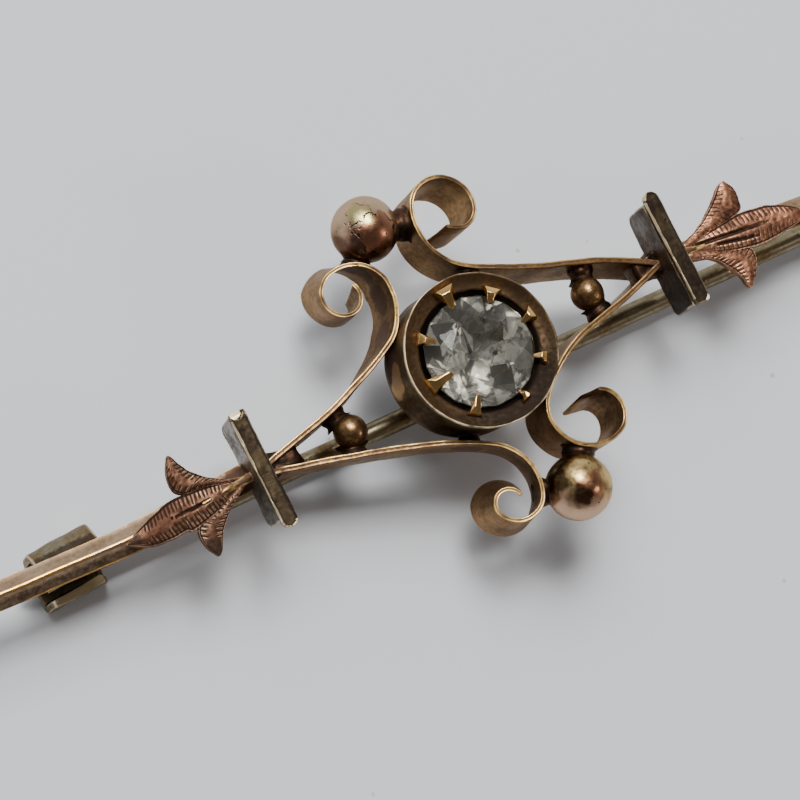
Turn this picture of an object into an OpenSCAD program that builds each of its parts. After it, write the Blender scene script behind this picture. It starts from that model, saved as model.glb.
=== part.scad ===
// Antique gold scroll bar brooch with one claw-set stone, lying on its back.
// Millimetres. X runs along the bar, +Y towards the upper bead, +Z out of the face.
// The origin is on the surface that it lies on, under the middle of the stone.

/* [Collet] */
// Radius of the collet's rim
rim_r = 3.45; // [3.3:0.01:3.5]
// Height of the rim above the surface
rim_z = 7.1; // [7.0:0.05:7.4]
// Depth of the collet from its rim to its back
collet_depth = 2.95; // [2.7:0.05:3.1]
// Radius of the drum just under the rim
drum_top_r = 3.38; // [3.3:0.01:3.4]
// Radius of the drum at its back
drum_base_r = 3.3; // [3.2:0.01:3.36]
// Radius where the dished band ends round the stone
throat_r = 2.72; // [2.65:0.01:2.8]
// Drop of the dished band from the rim to the throat
dish_drop = 0.32; // [0.2:0.01:0.4]
// Number of claws
claws = 8; // [6:1:8]
// Angle of the first claw
claw_start = 8; // [0:1:44]
// Width of a claw at its root
claw_w = 0.86; // [0.6:0.02:0.95]
// Thickness of a claw
claw_t = 0.3; // [0.2:0.02:0.34]
// Reach of a claw from its point to its root
claw_len = 0.78; // [0.6:0.02:0.82]

/* [Stone] */
// Radius of the stone at its girdle
stone_r = 2.5; // [2.4:0.01:2.55]
// Depth of the girdle below the rim
girdle_drop = 0.35; // [0.3:0.01:0.4]
// Radius of the table
table_r = 1.42; // [1.2:0.01:1.6]
// Height of the crown
crown_h = 0.56; // [0.5:0.01:0.62]
// Depth of the pavilion
pavilion_h = 2.05; // [1.8:0.01:2.2]
// Thickness of the girdle
girdle_t = 0.14; // [0.1:0.01:0.18]

/* [Scrolls] */
// Width of the ribbon, standing on its edge
ribbon_w = 2.5; // [2.2:0.05:2.6]
// Thickness of the ribbon
ribbon_t = 0.32; // [0.26:0.01:0.34]
// Depth of the ribbons' upper edge below the rim, at the curls
ribbon_drop = 1.35; // [1.2:0.05:1.5]
// Slope of the ribbons down to the crossbars
ribbon_slope = 7; // [5:0.5:8]

/* [Beads] */
// Radius of the two large beads
bead_r = 1.48; // [1.4:0.01:1.52]
// Distance of a large bead from the middle along the bar
bead_x = 1.355; // [1.3:0.01:1.4]
// Distance of a large bead from the middle across the bar
bead_y = 7.16; // [7.12:0.01:7.2]
// Depth of a large bead's middle below the rim
bead_drop = 1.8; // [1.6:0.05:2.0]
// Radius of the two small beads
small_bead_r = 0.75; // [0.7:0.01:0.78]
// Distance of the left small bead from the middle along the bar
small_left_x = 6.2; // [6.1:0.05:6.3]
// Distance of the right small bead from the middle along the bar
small_right_x = 6.48; // [6.4:0.02:6.56]
// Depth of a small bead's middle below the rim
small_bead_drop = 2.5; // [2.3:0.05:2.7]

/* [Crossbars] */
// Distance of a crossbar from the middle
cross_x = 10.69; // [10.6:0.01:10.75]
// Length of the left crossbar
cross_left_len = 5.4; // [5.2:0.05:5.6]
// Length of the right crossbar
cross_right_len = 5.52; // [5.3:0.05:5.7]
// Distance that the left plate's lower end stops short of its cap
left_cut = 0.4; // [0.2:0.05:0.5]
// Distance that the right plate's upper end stops short of its cap
right_cut = 0.4; // [0.2:0.05:0.5]
// Width of a crossbar's cap
cap_w = 0.74; // [0.68:0.01:0.76]
// Thickness of a crossbar's cap
cap_t = 0.26; // [0.2:0.01:0.35]
// Depth of a crossbar from its cap to its foot
cross_depth = 2.6; // [2.4:0.05:2.7]
// Depth of the caps below the rim
cross_drop = 1.0; // [0.8:0.05:1.1]
// Turn of the crossbars away from square
cross_turn = -2.8; // [-3.5:0.1:-2]

/* [Leaves] */
// Length of the left leaf
leaf_len = 5.9; // [5.6:0.05:6.1]
// Length of the right leaf
right_leaf_len = 6.4; // [6.1:0.05:6.5]
// Thickness of a leaf
leaf_t = 0.42; // [0.36:0.01:0.44]
// Depth of a leaf's face below the rim
leaf_drop = 2.2; // [2.1:0.05:2.3]

/* [End bars] */
// Distance of the end bars' outer ends from the middle
bar_end_x = 26; // [25:0.1:27]
// Width of an end bar
bar_w = 1.24; // [1.1:0.02:1.3]
// Height of an end bar's ridge above its back
bar_h = 0.84; // [0.7:0.02:0.9]
// Turn of the right end bar and leaf
right_turn = -7.5; // [-8:0.1:-7]
// Turn of the left end bar past the leaf
left_bend = 5.5; // [5:0.1:6]

/* [Fastening] */
// Diameter of the pin stem
pin_d = 0.94; // [0.8:0.02:0.96]
// Height of the pin stem's axis above the surface
pin_z = 1.0; // [0.9:0.02:1.05]
// Skew of the pin stem
pin_skew = -3.57; // [-3.8:0.01:-3.4]
// Length of the catch along the bar
catch_len = 2.9; // [2.8:0.05:3.3]
// Thickness of the catch's sheet
catch_t = 0.36; // [0.3:0.01:0.38]
// Width of the catch across the bar
catch_w = 2.55; // [2.5:0.05:3.1]
// Distance of the hinge from the middle
hinge_x = 23.4; // [23:0.1:24]
// Width of the hinge across the bar
hinge_w = 3.0; // [2.8:0.1:3.2]

/* [Hidden] */
round_fn = 96;
small_fn = 48;

// Space between neighbouring pieces
gap = 0.03;

// Heights that follow from the depths below the rim
collet_z = rim_z - collet_depth;
girdle_z = rim_z - girdle_drop;
ribbon_z = rim_z - ribbon_drop;
cap_z = rim_z - cross_drop;
leaf_z = rim_z - leaf_drop;
bar_z = leaf_z - leaf_t - gap - bar_h;

// Distance from the middle at which the ribbons' upper edge has its stated depth
slope_x = 2;

// Ribbon courses from the crossbar to the tip of the curl: start x, start y, heading,
// then rows of [length, radius], a positive radius turning left, and for a stepped end how
// far the upper half of the ribbon stops short of the lower half
top_course = [9.86, 0.05, 149.5, [[4.45, 20.4], [4.34, -21], [3.84, -2.61], [4.5, -1.52],
                                  [1.65, -0.94], [0.4, -30]]];
left_course = [9.82, -0.28, -168, [[1.73, -37.4], [5.12, 16.4], [2.89, 2.63], [2.81, 1.71],
                                   [2.75, 1.08], [1.89, 0.72]]];
bottom_course = [9.8, 0.32, 163.9, [[6.2, -65.7], [3.09, -14.6], [3.27, -2.31], [2.79, -1.18],
                                    [2.41, -0.72]]];
right_course = [9.84, -0.36, -164.2, [[4.03, -31.6], [4.26, 7.07], [1.72, 1.57], [3.41, 1.96],
                                      [1.72, 1.08], [0.9, 1], [0.85, 30]], 0.85];

// Half of a leaf's outline from its stem, as [along, across]: the outer side of the side
// lobe, the inner side of that lobe from its point, and the middle lobe
lobe_side = [[0, 0.44], [0.75, 0.52], [1.65, 1.15], [2.05, 1.7]];
lobe_back = [[0.42, 1.95], [0.56, 1.45], [0.57, 0.84]];
lobe_tip_x = 2.46;
middle_lobe = [[3.6, 0.78], [4.2, 0.66], [4.9, 0.42], [5.5, 0.16]];

// Directions and distances from the collet to the four ribbons
collet_lugs = [[61, 4.07], [134.3, 3.75], [239.4, 3.81], [310.5, 3.68]];

function arc_end(x, y, a, len, r) =
    let (b = a + len / r * 180 / PI) [x + r * (sin(b) - sin(a)), y - r * (cos(b) - cos(a)), b];

// Points along a ribbon's course, each [x, y, heading]
function course_points(x, y, a, rows, i = 0) =
    i == len(rows) ? [[x, y, a]] :
    let (steps = max(2, ceil(abs(rows[i][0] / rows[i][1]) * 180 / PI / 9)),
         last = arc_end(x, y, a, rows[i][0], rows[i][1]))
    concat([for (j = [0 : steps - 1]) arc_end(x, y, a, rows[i][0] * j / steps, rows[i][1])],
           course_points(last[0], last[1], last[2], rows, i + 1));

function side_points(points, offset) =
    [for (p = points) [p[0] - offset * sin(p[2]), p[1] + offset * cos(p[2])]];

function backwards(list) = [for (i = [len(list) - 1 : -1 : 0]) list[i]];

// Y of a ribbon near its start, carried on in a straight line
function course_y(course, x) = course[1] + (course[0] - x) * tan(180 - course[2]);

// Smooth curve through points, with n steps between each two
function smooth(points, n) =
    concat([for (i = [0 : len(points) - 2], j = [0 : n - 1])
            let (t = j / n,
                 a = points[max(i - 1, 0)],
                 b = points[i],
                 c = points[i + 1],
                 d = points[min(i + 2, len(points) - 1)])
            (2 * b + (c - a) * t + (2 * a - 5 * b + 4 * c - d) * t * t
             + (3 * b - a - 3 * c + d) * t * t * t) / 2],
           [points[len(points) - 1]]);

// Half of a leaf's outline with the point of its side lobe at tip, its middle lobe
// stretched to the length
function leaf_half(tip, length) =
    let (lobe = [for (p = middle_lobe) [p[0] * length / leaf_len, p[1]]],
         side = [for (p = lobe_side) [p[0] * tip[0] / lobe_tip_x, p[1]]],
         back = [for (p = lobe_back) [p[0] + tip[0], p[1]]])
    concat(smooth(concat(side, [tip]), 4), smooth(back, 3),
           smooth(concat(lobe, [[length, 0]]), 3));

// Y of the pin stem's axis at a given x
function pin_y(x) = -0.77 + x * tan(pin_skew);

// One flat ribbon on edge, following a course and sloping down towards the crossbar,
// larger all round by the clearance
module ribbon(course, clearance = 0) {
    line = concat(clearance > 0 ? [[course[0] - clearance * cos(course[2]),
                                    course[1] - clearance * sin(course[2]), course[2]]] : [],
                  course_points(course[0], course[1], course[2], course[3]));
    half = ribbon_t / 2 + clearance;
    end = line[len(line) - 1];
    step = len(course) > 4 ? course[4] : 0;
    translate([slope_x, 0, ribbon_z])
        rotate([0, ribbon_slope, 0])
            difference() {
                translate([-slope_x, 0, -ribbon_w - clearance])
                    linear_extrude(ribbon_w + 2 * clearance)
                        polygon(concat(side_points(line, half), backwards(side_points(line, -half))));
                if (step > 0)
                    translate([end[0] - slope_x, end[1], -ribbon_w / 2])
                        rotate([0, 0, end[2]])
                            translate([-step, -half * 2, 0]) cube([step * 1.2, half * 4, ribbon_w]);
            }
}

// Two ribbons at the right, or turned half round for the left, with space round them
module right_pair(clearance = 0) {
    ribbon(top_course, clearance);
    ribbon(right_course, clearance);
}

module left_pair(clearance = 0) {
    rotate([0, 0, 180]) {
        ribbon(left_course, clearance);
        ribbon(bottom_course, clearance);
    }
}

// Claw lying along the stone's crown, its point over the stone
module claw() {
    tip_w = 0.12;
    tip_r = 2.28;
    lift = 0.2;
    translate([tip_r, 0, girdle_z + girdle_t / 2 + lift])
        rotate([0, atan(crown_h / (stone_r - table_r)), 0])
            linear_extrude(claw_t)
                polygon([[0, tip_w / 2], [0, -tip_w / 2], [claw_len, -claw_w / 2], [claw_len, claw_w / 2]]);
}

// Ring with a dished band, an open back and a ledge under the stone's girdle
module drum() {
    lip = 0.07;
    seat_r = stone_r - 0.12;
    seat_z = girdle_z - girdle_t / 2 - 0.2;
    rotate_extrude($fn = round_fn)
        polygon([[drum_base_r, collet_z], [drum_top_r, rim_z - 0.2], [rim_r, rim_z - 0.16],
                 [rim_r, rim_z - 0.05], [rim_r - lip, rim_z], [throat_r, rim_z - dish_drop],
                 [throat_r, seat_z], [seat_r, seat_z], [seat_r, seat_z - 0.25],
                 [throat_r + 0.18, seat_z - 0.45], [drum_base_r - 0.45, collet_z]]);
}

module collet() {
    lug_w = 1.0;
    lug_h = 1.1;
    root_r = drum_base_r - 0.3;
    color("#6e5a3c") {
        drum();
        difference() {
            for (lug = collet_lugs)
                rotate([0, 0, lug[0]])
                    translate([root_r, -lug_w / 2, collet_z + 0.1])
                        cube([lug[1] - root_r, lug_w, lug_h]);
            right_pair(gap);
            left_pair(gap);
        }
    }
    color("#c8966e")
        for (i = [0 : claws - 1])
            rotate([0, 0, claw_start + i * 360 / claws]) claw();
}

// Old round cut: table, stars, kites and upper facets over a girdle, mains and lower under it
module stone() {
    step = 22.5;
    kite_slope = crown_h / (stone_r - table_r);
    star_r = table_r + (stone_r - table_r) * 0.52;
    main_slope = pavilion_h / stone_r;
    break_r = stone_r * 0.42;
    culet_r = 0.14;
    top_z = girdle_z + girdle_t / 2;
    low_z = girdle_z - girdle_t / 2;
    star_z = top_z + crown_h - kite_slope * (star_r * cos(step) - table_r);
    break_z = low_z - main_slope * (stone_r - break_r * cos(step));
    culet_z = low_z - main_slope * (stone_r - culet_r);
    table = ring_points(8, table_r, 0, top_z + crown_h);
    stars = ring_points(8, star_r, step, star_z);
    upper = ring_points(16, stone_r, 0, top_z);
    lower = ring_points(16, stone_r, 0, low_z);
    breaks = ring_points(8, break_r, step, break_z);
    culet = ring_points(8, culet_r, 0, culet_z);
    // First point of each ring in the joined list
    s = 8;
    u = 16;
    l = 32;
    b = 48;
    c = 56;
    crown_faces = [for (k = [0 : 7]) each [
        [k, (k + 1) % 8, s + k],
        [k, s + k, u + 2 * k],
        [k, u + 2 * k, s + (k + 7) % 8],
        [s + k, u + 2 * k + 1, u + 2 * k],
        [s + k, u + (2 * k + 2) % 16, u + 2 * k + 1]]];
    girdle_faces = [for (k = [0 : 15]) [u + k, u + (k + 1) % 16, l + (k + 1) % 16, l + k]];
    pavilion_faces = [for (k = [0 : 7]) each [
        [b + k, l + 2 * k, l + 2 * k + 1],
        [b + k, l + 2 * k + 1, l + (2 * k + 2) % 16],
        [b + k, c + k, l + 2 * k],
        [b + (k + 7) % 8, l + 2 * k, c + k],
        [b + k, c + (k + 1) % 8, c + k]]];
    color("#d9dcdc")
        polyhedron(points = concat(table, stars, upper, lower, breaks, culet),
                   faces = concat([[for (k = [7 : -1 : 0]) k]], crown_faces, girdle_faces,
                                  pavilion_faces, [[for (k = [0 : 7]) c + k]]));
}

function ring_points(n, r, start, z) =
    [for (k = [0 : n - 1]) [r * cos(start + k * 360 / n), r * sin(start + k * 360 / n), z]];

module scroll_top() {
    color("#96734f") ribbon(top_course);
}

module scroll_left() {
    color("#96734f") rotate([0, 0, 180]) ribbon(left_course);
}

module scroll_bottom() {
    color("#96734f") rotate([0, 0, 180]) ribbon(bottom_course);
}

module scroll_right() {
    color("#96734f") ribbon(right_course);
}

// Ball with necks of solder, each given as [direction, reach], cut clear of the children.
// The ball's seam is turned away from every neck.
module bead(r, neck_r, necks) {
    seam = 20;
    rotate([0, 0, seam]) sphere(r = r, $fn = small_fn);
    difference() {
        for (n = necks)
            rotate([0, 0, n[0]])
                translate([r * 0.6, 0, -neck_r * 0.8])
                    rotate([0, 90, 0])
                        cylinder(r = neck_r, h = n[1] - r * 0.6, $fn = small_fn);
        children();
    }
}

module bead_upper() {
    place = [-bead_x, bead_y, rim_z - bead_drop];
    color("#a8785a")
        translate(place)
            bead(bead_r, 0.6, [[-15.7, 2.0], [-130.7, 1.64]])
                translate(-place) {
                    ribbon(top_course, gap);
                    rotate([0, 0, 180]) ribbon(left_course, gap);
                }
}

module bead_lower() {
    place = [bead_x, -bead_y, rim_z - bead_drop];
    color("#b08a50")
        translate(place)
            bead(bead_r, 0.6, [[158, 1.74], [54.7, 1.78]])
                translate(-place) {
                    ribbon(right_course, gap);
                    rotate([0, 0, 180]) ribbon(bottom_course, gap);
                }
}

module bead_small_left() {
    place = [-small_left_x, -0.23, rim_z - small_bead_drop];
    color("#7a6038")
        translate(place)
            bead(small_bead_r, 0.4, [[106, 1.16], [-107.3, 1.1]])
                translate(-place) left_pair(gap);
}

module bead_small_right() {
    place = [small_right_x, 0.15, rim_z - small_bead_drop];
    color("#6e5a32")
        translate(place)
            bead(small_bead_r, 0.4, [[70, 1.29], [-79, 1.17]])
                translate(-place) right_pair(gap);
}

// Upright slab with round ends, centred, its top at z = 0
module slab(len, w, h) {
    translate([-w / 2, -len / 2 + w / 2, -h]) cube([w, len - w, h]);
    for (side = [-1, 1])
        translate([0, side * (len / 2 - w / 2), -h]) cylinder(d = w, h = h, $fn = small_fn);
}

// Plate on edge from y = low to y = high, its top at z = 0, with rounded lower corners
module plate(low, high, w, h) {
    corner_r = 0.4;
    rotate([90, 0, 90])
        translate([0, 0, -w / 2])
            linear_extrude(w) {
                translate([low, corner_r - h]) square([high - low, h - corner_r]);
                translate([low + corner_r, -h]) square([high - low - 2 * corner_r, 2 * corner_r]);
                for (y = [low + corner_r, high - corner_r])
                    translate([y, corner_r - h]) circle(r = corner_r, $fn = small_fn);
            }
}

// Cap with a sunk face over a thinner plate that stops short of its lower and upper end
module crossbar(len, low_cut, high_cut) {
    rim_w = 0.09;
    sunk = 0.08;
    end_step = 0.05;
    plate_w = cap_w - 0.06;
    overlap = 0.02;
    difference() {
        slab(len, cap_w, cap_t);
        translate([0, 0, 1]) slab(len - 2 * rim_w, cap_w - 2 * rim_w, 1 + sunk);
    }
    translate([0, 0, -cap_t + overlap])
        plate(-len / 2 + end_step + low_cut, len / 2 - end_step - high_cut, plate_w,
              cross_depth - cap_t + overlap);
}

// Solder that fills the point between an upper and a lower ribbon and joins them to the
// crossbar, cut clear of the children
module solder_wedge(upper, lower) {
    tip_x = 8.9;
    neck_x = 9.5;
    block_x = 9.7;
    end_x = cross_x - 0.24;
    spread = 0.3;
    low_z = cap_z - cross_depth;
    difference() {
        translate([0, 0, low_z])
            linear_extrude(1.05)
                polygon([[tip_x, course_y(upper, tip_x)], [neck_x, course_y(upper, neck_x)],
                         [block_x, upper[1] + spread], [end_x, upper[1] + spread],
                         [end_x, lower[1] - spread], [block_x, lower[1] - spread],
                         [neck_x, course_y(lower, neck_x)], [tip_x, course_y(lower, tip_x)]]);
        children();
    }
}

module crossbar_left() {
    color("#8f8570") {
        translate([-cross_x, 0, cap_z])
            rotate([0, 0, cross_turn]) crossbar(cross_left_len, left_cut, 0);
        rotate([0, 0, 180])
            solder_wedge(bottom_course, left_course)
                rotate([0, 0, 180]) left_pair(gap);
    }
}

module crossbar_right() {
    color("#8f8570") {
        translate([cross_x, 0, cap_z])
            rotate([0, 0, cross_turn]) crossbar(cross_right_len, 0, right_cut);
        solder_wedge(top_course, right_course) right_pair(gap);
    }
}

// Three-lobed leaf with a groove down its middle, its stem at the origin, its point along
// +X and its face at z = 0
module leaf(upper_tip, lower_tip, stem, length) {
    stem_w = 0.6;
    vein_w = 0.18;
    vein_len = 3.6;
    difference() {
        translate([0, 0, -leaf_t])
            linear_extrude(leaf_t)
                polygon(concat([[-stem, stem_w / 2]], leaf_half(upper_tip, length),
                               backwards([for (p = leaf_half(lower_tip, length)) [p[0], -p[1]]]),
                               [[-stem, -stem_w / 2]]));
        translate([0.6, 0, 0])
            rotate([45, 0, 0])
                translate([0, -vein_w / 2, -vein_w / 2]) cube([vein_len, vein_w, vein_w]);
    }
}

module leaf_left() {
    color("#a06e50")
        translate([-11.3, 0.03, leaf_z])
            mirror([1, 0, 0]) leaf([lobe_tip_x, 2.46], [2.6, 2.3], 0.24, leaf_len);
}

module leaf_right() {
    color("#a06e50")
        translate([11.5, -0.33, leaf_z])
            rotate([0, 0, right_turn]) leaf([3.0, 2.44], [2.32, 2.52], 0.4, right_leaf_len);
}

// Length of ridged bar along +X, its back at z = 0
module ridged_bar(len) {
    chamfer = 0.12;
    edge_h = 0.4;
    flat = 0.1;
    half = bar_w / 2;
    rotate([90, 0, 90])
        linear_extrude(len)
            polygon([[-half + chamfer, 0], [half - chamfer, 0], [half, chamfer], [half, edge_h],
                     [flat, bar_h], [-flat, bar_h], [-half, edge_h], [-half, chamfer]]);
}

module bar_left() {
    start_x = 11.06;
    bend_x = 17.2;
    color("#b8946a")
        translate([-bend_x, 0.2, bar_z]) {
            ridged_bar(bend_x - start_x);
            rotate([0, 0, 180 - left_bend])
                translate([-0.05, 0, 0])
                    ridged_bar((bar_end_x - bend_x) / cos(left_bend));
        }
}

module bar_right() {
    start_x = 11.16;
    color("#b8946a")
        translate([start_x, -0.2, bar_z])
            rotate([0, 0, right_turn])
                ridged_bar((bar_end_x - start_x) / cos(right_turn));
}

// Outline of a bent sheet's outer or inner side: flat low and high sides that are open at
// the front, and a back with rounded corners
function hook_outline(front, back, low, high, r) =
    concat([[front, low]],
           [for (a = [-90 : 10 : 0]) [back - r + r * cos(a), low + r + r * sin(a)]],
           [for (a = [0 : 10 : 90]) [back - r + r * cos(a), high - r + r * sin(a)]],
           [[front, high]]);

// Open hook of bent sheet under the left end bar: arm, back, floor and lip
module catch() {
    front_y = -0.72;
    arm_y = -0.1;
    lip_h = 1.6;
    corner_r = 1.05;
    back_y = front_y + catch_w;
    arm_z = bar_z - gap;
    t = catch_t;
    color("#8c8c74")
        translate([-19.3 - catch_len / 2, 0, 0])
            rotate([90, 0, 90])
                linear_extrude(catch_len)
                    difference() {
                        polygon(hook_outline(front_y, back_y, 0, arm_z, corner_r));
                        polygon(hook_outline(front_y + t, back_y - t, t, arm_z - t, corner_r - t));
                        translate([front_y - 1, lip_h]) square([arm_y + 1 - front_y, arm_z]);
                    }
}

// Two ears on a foot, with the rivet that the pin stem hangs on
module hinge() {
    ear_t = 0.7;
    ear_len = 2.0;
    foot_z = 2.0;
    rivet_d = 0.6;
    overlap = 0.2;
    color("#8c8c74")
        translate([hinge_x, pin_y(hinge_x), 0])
            rotate([0, 0, pin_skew]) {
                for (side = [-1, 1])
                    translate([-ear_len / 2, side * (hinge_w - ear_t) / 2 - ear_t / 2, 0])
                        cube([ear_len, ear_t, foot_z + overlap]);
                translate([-ear_len / 2, -hinge_w / 2, foot_z])
                    cube([ear_len, hinge_w, bar_z - gap - foot_z]);
                translate([0, hinge_w / 2, pin_z])
                    rotate([90, 0, 0]) cylinder(d = rivet_d, h = hinge_w, $fn = small_fn);
            }
}

// Round stem with an eye at the hinge and a tapered point past the catch
module pin_stem() {
    eye_w = 1.4;
    eye_d = 1.5;
    bore_d = 0.7;
    point = 1.6;
    point_d = 0.16;
    reach = hinge_x + 21.7;
    color("#77736a")
        translate([hinge_x, pin_y(hinge_x), pin_z])
            rotate([0, 0, 180 + pin_skew])
                difference() {
                    union() {
                        rotate([0, 90, 0]) cylinder(d = pin_d, h = reach - point, $fn = small_fn);
                        translate([reach - point, 0, 0])
                            rotate([0, 90, 0])
                                cylinder(d1 = pin_d, d2 = point_d, h = point, $fn = small_fn);
                        translate([0, eye_w / 2, 0])
                            rotate([90, 0, 0]) cylinder(d = eye_d, h = eye_w, $fn = small_fn);
                    }
                    translate([0, eye_w, 0])
                        rotate([90, 0, 0]) cylinder(d = bore_d, h = 2 * eye_w, $fn = small_fn);
                }
}

collet();
stone();
scroll_top();
scroll_left();
scroll_bottom();
scroll_right();
bead_upper();
bead_lower();
bead_small_left();
bead_small_right();
crossbar_left();
crossbar_right();
leaf_left();
leaf_right();
bar_left();
bar_right();
catch();
hinge();
pin_stem();
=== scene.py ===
"""Antique gold scroll bar brooch: its visible pieces, their finishes and a plain studio."""

import math

import bmesh
import bpy
import numpy as np
from bpy.props import FloatProperty, FloatVectorProperty, PointerProperty
from mathutils import Euler, Matrix, Vector, noise
from mathutils.kdtree import KDTree


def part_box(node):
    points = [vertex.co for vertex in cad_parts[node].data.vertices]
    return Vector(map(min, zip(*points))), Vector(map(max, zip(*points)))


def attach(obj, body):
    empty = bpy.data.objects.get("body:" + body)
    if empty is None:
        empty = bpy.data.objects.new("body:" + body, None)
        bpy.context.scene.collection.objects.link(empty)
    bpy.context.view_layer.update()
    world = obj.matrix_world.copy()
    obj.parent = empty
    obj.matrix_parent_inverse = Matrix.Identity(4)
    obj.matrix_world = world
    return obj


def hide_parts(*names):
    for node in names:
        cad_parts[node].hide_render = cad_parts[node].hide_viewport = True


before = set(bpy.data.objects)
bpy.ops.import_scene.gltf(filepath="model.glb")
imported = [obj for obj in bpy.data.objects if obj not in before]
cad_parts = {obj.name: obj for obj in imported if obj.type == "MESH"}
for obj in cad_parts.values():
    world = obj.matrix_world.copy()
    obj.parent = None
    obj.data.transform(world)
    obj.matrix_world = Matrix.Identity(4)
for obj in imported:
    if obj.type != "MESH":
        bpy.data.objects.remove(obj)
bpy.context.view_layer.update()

bl_info = {
    "name": "Scroll Bar Brooch",
    "version": (1, 0, 0),
    "blender": (4, 5, 0),
    "location": "3D View > Sidebar > Brooch",
    "description": "Builds an antique gold bar brooch with ribbon scrolls and a claw-set stone",
    "category": "Add Mesh",
}

MM = 0.001
HALF_TURN = Matrix.Rotation(math.pi, 4, "Z")
STEM_TURN = math.radians(3.57)
BAND_OVERHANG = 0.02 * MM


# Settings that a user would change

def length(name, text, millimetres):
    """A length in metres, given here in millimetres."""
    return FloatProperty(name=name, description=text, default=millimetres * MM, unit="LENGTH", precision=6)


def degrees(name, text, value):
    """An angle, given here in degrees."""
    return FloatProperty(name=name, description=text, default=math.radians(value), subtype="ANGLE")


def measure(name, text, value):
    """A plain number, such as a power in watts."""
    return FloatProperty(name=name, description=text, default=value)


def colour(name, text, red, green, blue):
    """A colour, given here as the eye sees it, from 0 to 255."""
    linear = [((c / 255 + 0.055) / 1.055) ** 2.4 for c in (red, green, blue)]
    return FloatVectorProperty(name=name, description=text, default=linear, size=3, min=0, max=1,
                               subtype="COLOR")


class SettingSizes(bpy.types.PropertyGroup):
    rim_radius: length("Rim radius", "Radius of the collet's rim", 3.45)
    rim_height: length("Rim height", "Height of the rim above the floor", 7.1)
    drum_depth: length("Drum depth", "Depth of the collet", 2.95)
    drum_radius: length("Drum radius", "Radius of the collet at its back", 3.3)
    throat_radius: length("Throat radius", "Radius where the dished band ends", 2.7)
    dish_drop: length("Dish drop", "Drop of the dished band towards the stone", 0.34)


class RibbonSizes(bpy.types.PropertyGroup):
    width: length("Ribbon width", "Width of the ribbon, which stands on its edge", 2.5)
    thickness: length("Ribbon thickness", "Thickness of the ribbon near the crossbars", 0.28)
    drop: length("Ribbon drop", "Depth of the ribbon's edge below the rim", 1.35)
    slope: degrees("Slope", "Fall of the ribbons to the crossbars", 7)
    edge: length("Edge radius", "Rounding of the ribbon's edges", 0.05)
    lead: length("Lead", "How far a ribbon runs in under the crossbar", 0.5)
    dip: length("Dip", "Dip along the middle of the ribbon's upper edge", 0.012)


class BeadSizes(bpy.types.PropertyGroup):
    large_radius: length("Large bead", "Radius of the large beads", 1.48)
    small_radius: length("Small bead", "Radius of the small beads", 0.75)


class CrossbarSizes(bpy.types.PropertyGroup):
    place: length("Place", "Distance of a crossbar from the middle", 10.69)
    left_length: length("Left length", "Length of the left crossbar", 5.4)
    right_length: length("Right length", "Length of the right crossbar", 5.52)
    width: length("Width", "Width of a crossbar", 0.74)
    depth: length("Depth", "Depth of a crossbar", 2.6)
    drop: length("Drop", "Depth of the crossbar's face below the rim", 1.0)
    turn: degrees("Turn", "Turn of the crossbars away from square", -2.8)


class LeafSizes(bpy.types.PropertyGroup):
    thickness: length("Thickness", "Thickness of a leaf", 0.36)
    drop: length("Drop", "Depth of a leaf's face below the rim", 2.24)
    cut: length("Cut", "Depth of the engraved strokes", 0.026)
    crown: length("Crown", "Rise of a lobe between its edges", 0.1)


class BarSizes(bpy.types.PropertyGroup):
    width: length("Width", "Width of an end bar", 1.24)
    edge_height: length("Edge height", "Height of the bar's flanks at their edges", 0.4)


class FasteningSizes(bpy.types.PropertyGroup):
    pin_diameter: length("Pin", "Diameter of the pin stem", 0.94)
    sheet: length("Sheet", "Thickness of the catch's sheet", 0.36)


class FinishColours(bpy.types.PropertyGroup):
    gold: colour("Gold", "Clean worn gold", 164, 130, 88)
    # Gold rubbed bright is also the tone of the painted highlights on the ribbons' edges.
    gold_bright: colour("Bright gold", "Gold rubbed bright on edges", 236, 194, 124)
    gold_dark: colour("Dark gold", "Brown patina on gold", 80, 56, 38)
    yellow: colour("Yellow gold", "Yellow gold of the lower bead", 206, 178, 122)
    olive: colour("Olive", "Olive-brown patina of the collet", 104, 84, 56)
    umber: colour("Umber", "Dark brown patina of the collet", 66, 50, 34)
    brown: colour("Brown", "Brown dished band", 100, 80, 58)
    # Pale gold is also the tone of the painted highlights on the collet's rim, the crossbars' ends and the
    # catch's lip.
    pale: colour("Pale gold", "Whitish worn edges", 228, 210, 172)
    sunk: colour("Sunk face", "Dark brown faces of the crossbars", 56, 47, 35)
    patch: colour("Patch", "Olive-yellow patch of the upper bead", 170, 158, 110)
    bar: colour("Bar", "Pinkish-beige skin of the end bars", 184, 158, 130)
    bar_dark: colour("Dark bar", "Brown patina of the end bars", 108, 82, 58)
    rose: colour("Rose gold", "Clean rose gold", 158, 110, 84)
    rose_worn: colour("Worn rose gold", "Browner rose gold of the left leaf", 88, 64, 49)
    rose_bright: colour("Bright rose gold", "Rose gold rubbed bright", 236, 192, 158)
    # Dark rose gold is also the painted shade on the upper bead's lower side.
    rose_dark: colour("Dark rose gold", "Patina in engraved rose gold", 74, 48, 36)
    silver: colour("Silvery sides", "Worn silvery plate", 140, 134, 124)
    silver_dark: colour("Dark silvery sides", "Duller plate of the right crossbar", 82, 76, 68)
    # Tarnish is also the tone of the painted shade in corners, on sides away from the light and on the ledge
    # under the stone.
    tarnish: colour("Tarnish", "Dark tarnish in corners", 30, 22, 17)
    solder: colour("Solder", "Dark solder with a brown skin", 80, 56, 44)
    # Pale skin is also the painted reflection of the floor on the lower bead's lower side.
    skin: colour("Pale skin", "Pinkish-beige skin of the beads", 190, 156, 132)
    steel: colour("Stem", "Olive-grey stem", 136, 128, 104)
    catch: colour("Catch", "Greenish-grey catch", 132, 128, 110)
    # Ridge gold is also the tone of the painted highlight along the end bars' ridge.
    ridge: colour("Ridge", "Golden ridge of the end bars", 236, 178, 84)


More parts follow.
